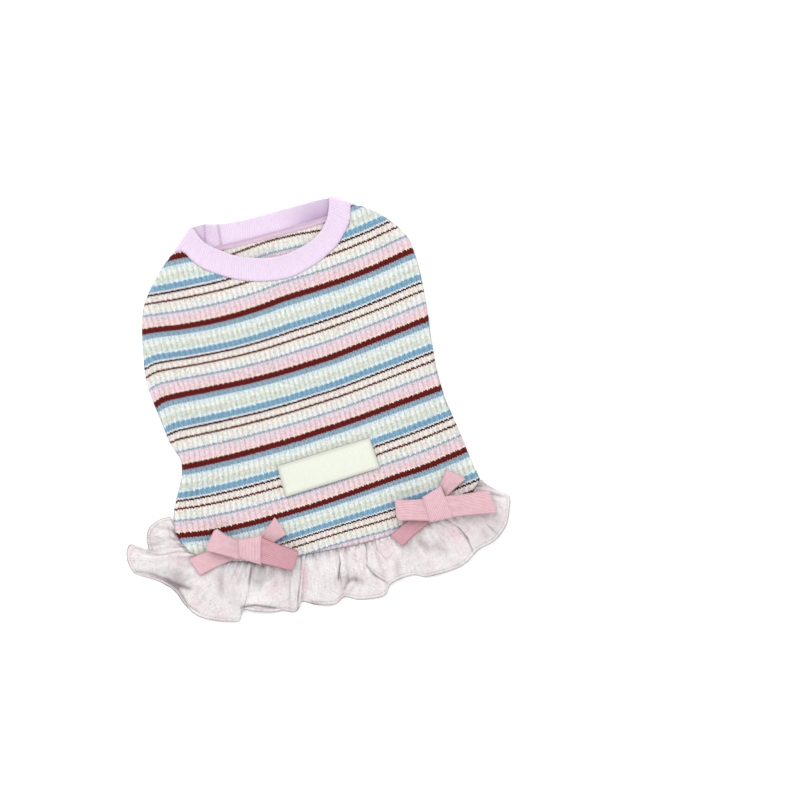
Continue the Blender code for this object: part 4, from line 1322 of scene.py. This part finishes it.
class DRESS_OT_bows(bpy.types.Operator):
    """Make both ribbon bows: their tails, loops and knots"""

    bl_idname = "dress.bows"
    bl_label = "Bows"

    def execute(self, context):
        material = ribbon_material(context.scene.dress_colours)
        for node, row in RIBBONS.items():
            self.ribbon(Ribbon(node, row), material)
        for node, corners in KNOTS.items():
            self.knot(node, corners, material)
        return {"FINISHED"}

    def ribbon(self, item, material):
        """A ribbon: straight lines across, carried along its path, a little cupped, creased at its root."""
        out, z = ribbon_path(item, 26)
        across = np.linspace(0, 1, 25)[None, :]
        width = np.linalg.norm(item.far[1] - item.far[0])
        length = np.linalg.norm(item.far.mean(axis=0) - item.root.mean(axis=0))
        out = np.where(out < 0.02, -ROOT_UNDER_KNOT / length, out)
        mix = across[..., None]
        rim = np.minimum(across, 1 - across) * width
        corner = (1.5 if item.loop else 0.4) / length * bell(rim, 1.5)
        reach = (out[:, None] - corner * np.clip(out[:, None], 0, 1) ** 3)[..., None]
        plan = lerp(lerp(item.root[0], item.root[1], mix), lerp(item.far[0], item.far[1], mix), reach)
        middle_line = plan.mean(axis=1, keepdims=True)
        waist = 1 - 0.06 * np.sin(np.pi * np.clip(out, 0, 1))
        plan = middle_line + (plan - middle_line) * waist[:, None, None]
        pleat = 0.28 * bell(out[:, None], 0.35) * np.cos(2 * np.pi * 2.5 * (across - 0.5))
        cup = 0.2 * np.sin(np.pi * out[:, None]) * (1 - (2 * across - 1) ** 2)
        height = z[:, None] + pleat + cup - 0.1
        middle = np.concatenate([plan, height[..., None]], axis=-1)
        half = grid_normals(middle) * (RIBBON / 2 - 0.15)
        run = np.concatenate([[0], np.cumsum(np.hypot(np.diff(out) * length, np.diff(z)))])[:, None]
        # The third value darkens the edges, plus the ribbon's painted shade where it lies in shadow.
        places = stacked(run, across * width, 0.45 * bell(rim, 0.5) + item.shade)
        name = item.node + "_ribbon"
        made = shell(name, middle + half, middle - half, places, places, material)
        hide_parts(item.node)

    def knot(self, node, corners, material):
        """A knot: a quadrilateral pad whose half height is a flat dome, with the wrap's creases across it."""
        u = np.linspace(-1, 1, 41)[None, :]
        v = np.linspace(-1, 1, 41)[:, None]
        a, b, c, d = (np.array(corner) for corner in corners)
        s, t = (u[..., None] + 1) / 2, (v[..., None] + 1) / 2
        plan = lerp(lerp(d, c, s), lerp(a, b, s), t)
        merges = (u > 0) & (node == "bow_right_knot")
        flank = np.where(merges, (1 - u**2) ** 1.5, 1 - u**4)
        dome = np.sqrt(np.clip(flank * (1 - v**4), 0, 1))
        half = (KNOT_HIGH - KNOT_LOW) / 2
        middle = (KNOT_LOW + KNOT_HIGH) / 2
        rise = lerp(KNOT_EDGE * half, half, dome)
        crease = 0.3 * dome * np.sin(np.pi * 2.4 * u + 0.5 * v) - 0.25 * dome
        high = np.concatenate([plan, (middle + rise + crease)[..., None]], axis=-1)
        low = np.concatenate([plan, (middle - rise)[..., None]], axis=-1)
        width = np.linalg.norm(b - a)
        height = np.linalg.norm(d - a)
        edge = 0.35 * bell(1 - np.abs(u), 0.08) * (1 - merges)
        places = stacked(v * height / 2, u * width / 2, edge)
        made = shell(node + "_wrap", high, low, places, places, material)
        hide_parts(node)


class DRESS_OT_stage(bpy.types.Operator):
    """Make the table, the light and the camera"""

    bl_idname = "dress.stage"
    bl_label = "Stage"

    def execute(self, context):
        scene = context.scene
        floor = bpy.data.meshes.new("table")
        reach = 3.0
        corners = [(x * reach, y * reach, 0) for x, y in ((-1, -1), (1, -1), (1, 1), (-1, 1))]
        floor.from_pydata(corners, [], [(0, 1, 2, 3)])
        table = bpy.data.objects.new("table", floor)
        table.data.materials.append(table_material())
        scene.collection.objects.link(table)
        middle = Vector(FRAME_MIDDLE)
        camera = bpy.data.objects.new("camera", bpy.data.cameras.new("camera"))
        camera.data.lens = 85
        camera.data.sensor_width = 36
        distance = scene.dress_sizes.frame_width * camera.data.lens / camera.data.sensor_width
        above = Matrix.Translation(middle + Vector((0, 0, distance)))
        camera.matrix_world = above @ Matrix.Rotation(FRAME_TURN, 4, "Z")
        camera.data.clip_end = 10
        scene.collection.objects.link(camera)
        scene.camera = camera
        for name, place, size, power in (
            ("key", (-0.3, 0.9, 1.0), 1.8, 20.5),
            ("fill", (0.9, -0.1, 1.1), 1.5, 7.5),
            ("low", (-0.4, -1.0, 0.9), 1.5, 5.5),
        ):
            lamp = bpy.data.lights.new(name, "AREA")
            lamp.shape = "DISK"
            lamp.size = size
            lamp.energy = power
            holder = bpy.data.objects.new(name, lamp)
            towards = -Vector(place)
            turned = towards.to_track_quat("-Z", "Y").to_matrix().to_4x4()
            holder.matrix_world = Matrix.Translation(middle - towards) @ turned
            scene.collection.objects.link(holder)
        world = bpy.data.worlds.new("soft_room")
        world.use_nodes = True
        background = world.node_tree.nodes["Background"]
        background.inputs["Color"].default_value = (1, 1, 1, 1)
        background.inputs["Strength"].default_value = 0.7
        scene.world = world
        scene.view_settings.view_transform = "Standard"
        return {"FINISHED"}


class DRESS_PT_panel(bpy.types.Panel):
    """Lists the dress's pieces, sizes and colours"""

    bl_label = "Dog Dress"
    bl_idname = "DRESS_PT_panel"
    bl_space_type = "VIEW_3D"
    bl_region_type = "UI"
    bl_category = "Dog Dress"

    def draw(self, context):
        for made in OPERATORS:
            self.layout.operator(made.bl_idname)
        for group in (context.scene.dress_sizes, context.scene.dress_colours):
            box = self.layout.box()
            for name in group.__annotations__:
                box.prop(group, name)


OPERATORS = (
    DRESS_OT_belly_panel,
    DRESS_OT_back_panel,
    DRESS_OT_neck_band,
    DRESS_OT_hem_ruffle,
    DRESS_OT_label,
    DRESS_OT_bows,
    DRESS_OT_stage,
)
CLASSES = (DressColours, DressSizes, *OPERATORS, DRESS_PT_panel)


def register():
    for found in CLASSES:
        bpy.utils.register_class(found)
    bpy.types.Scene.dress_colours = bpy.props.PointerProperty(type=DressColours)
    bpy.types.Scene.dress_sizes = bpy.props.PointerProperty(type=DressSizes)


def unregister():
    del bpy.types.Scene.dress_sizes
    del bpy.types.Scene.dress_colours
    for found in reversed(CLASSES):
        bpy.utils.unregister_class(found)


def main():
    register()
    for made in OPERATORS:
        group, name = made.bl_idname.split(".")
        getattr(getattr(bpy.ops, group), name)()


if __name__ == "__main__":
    main()
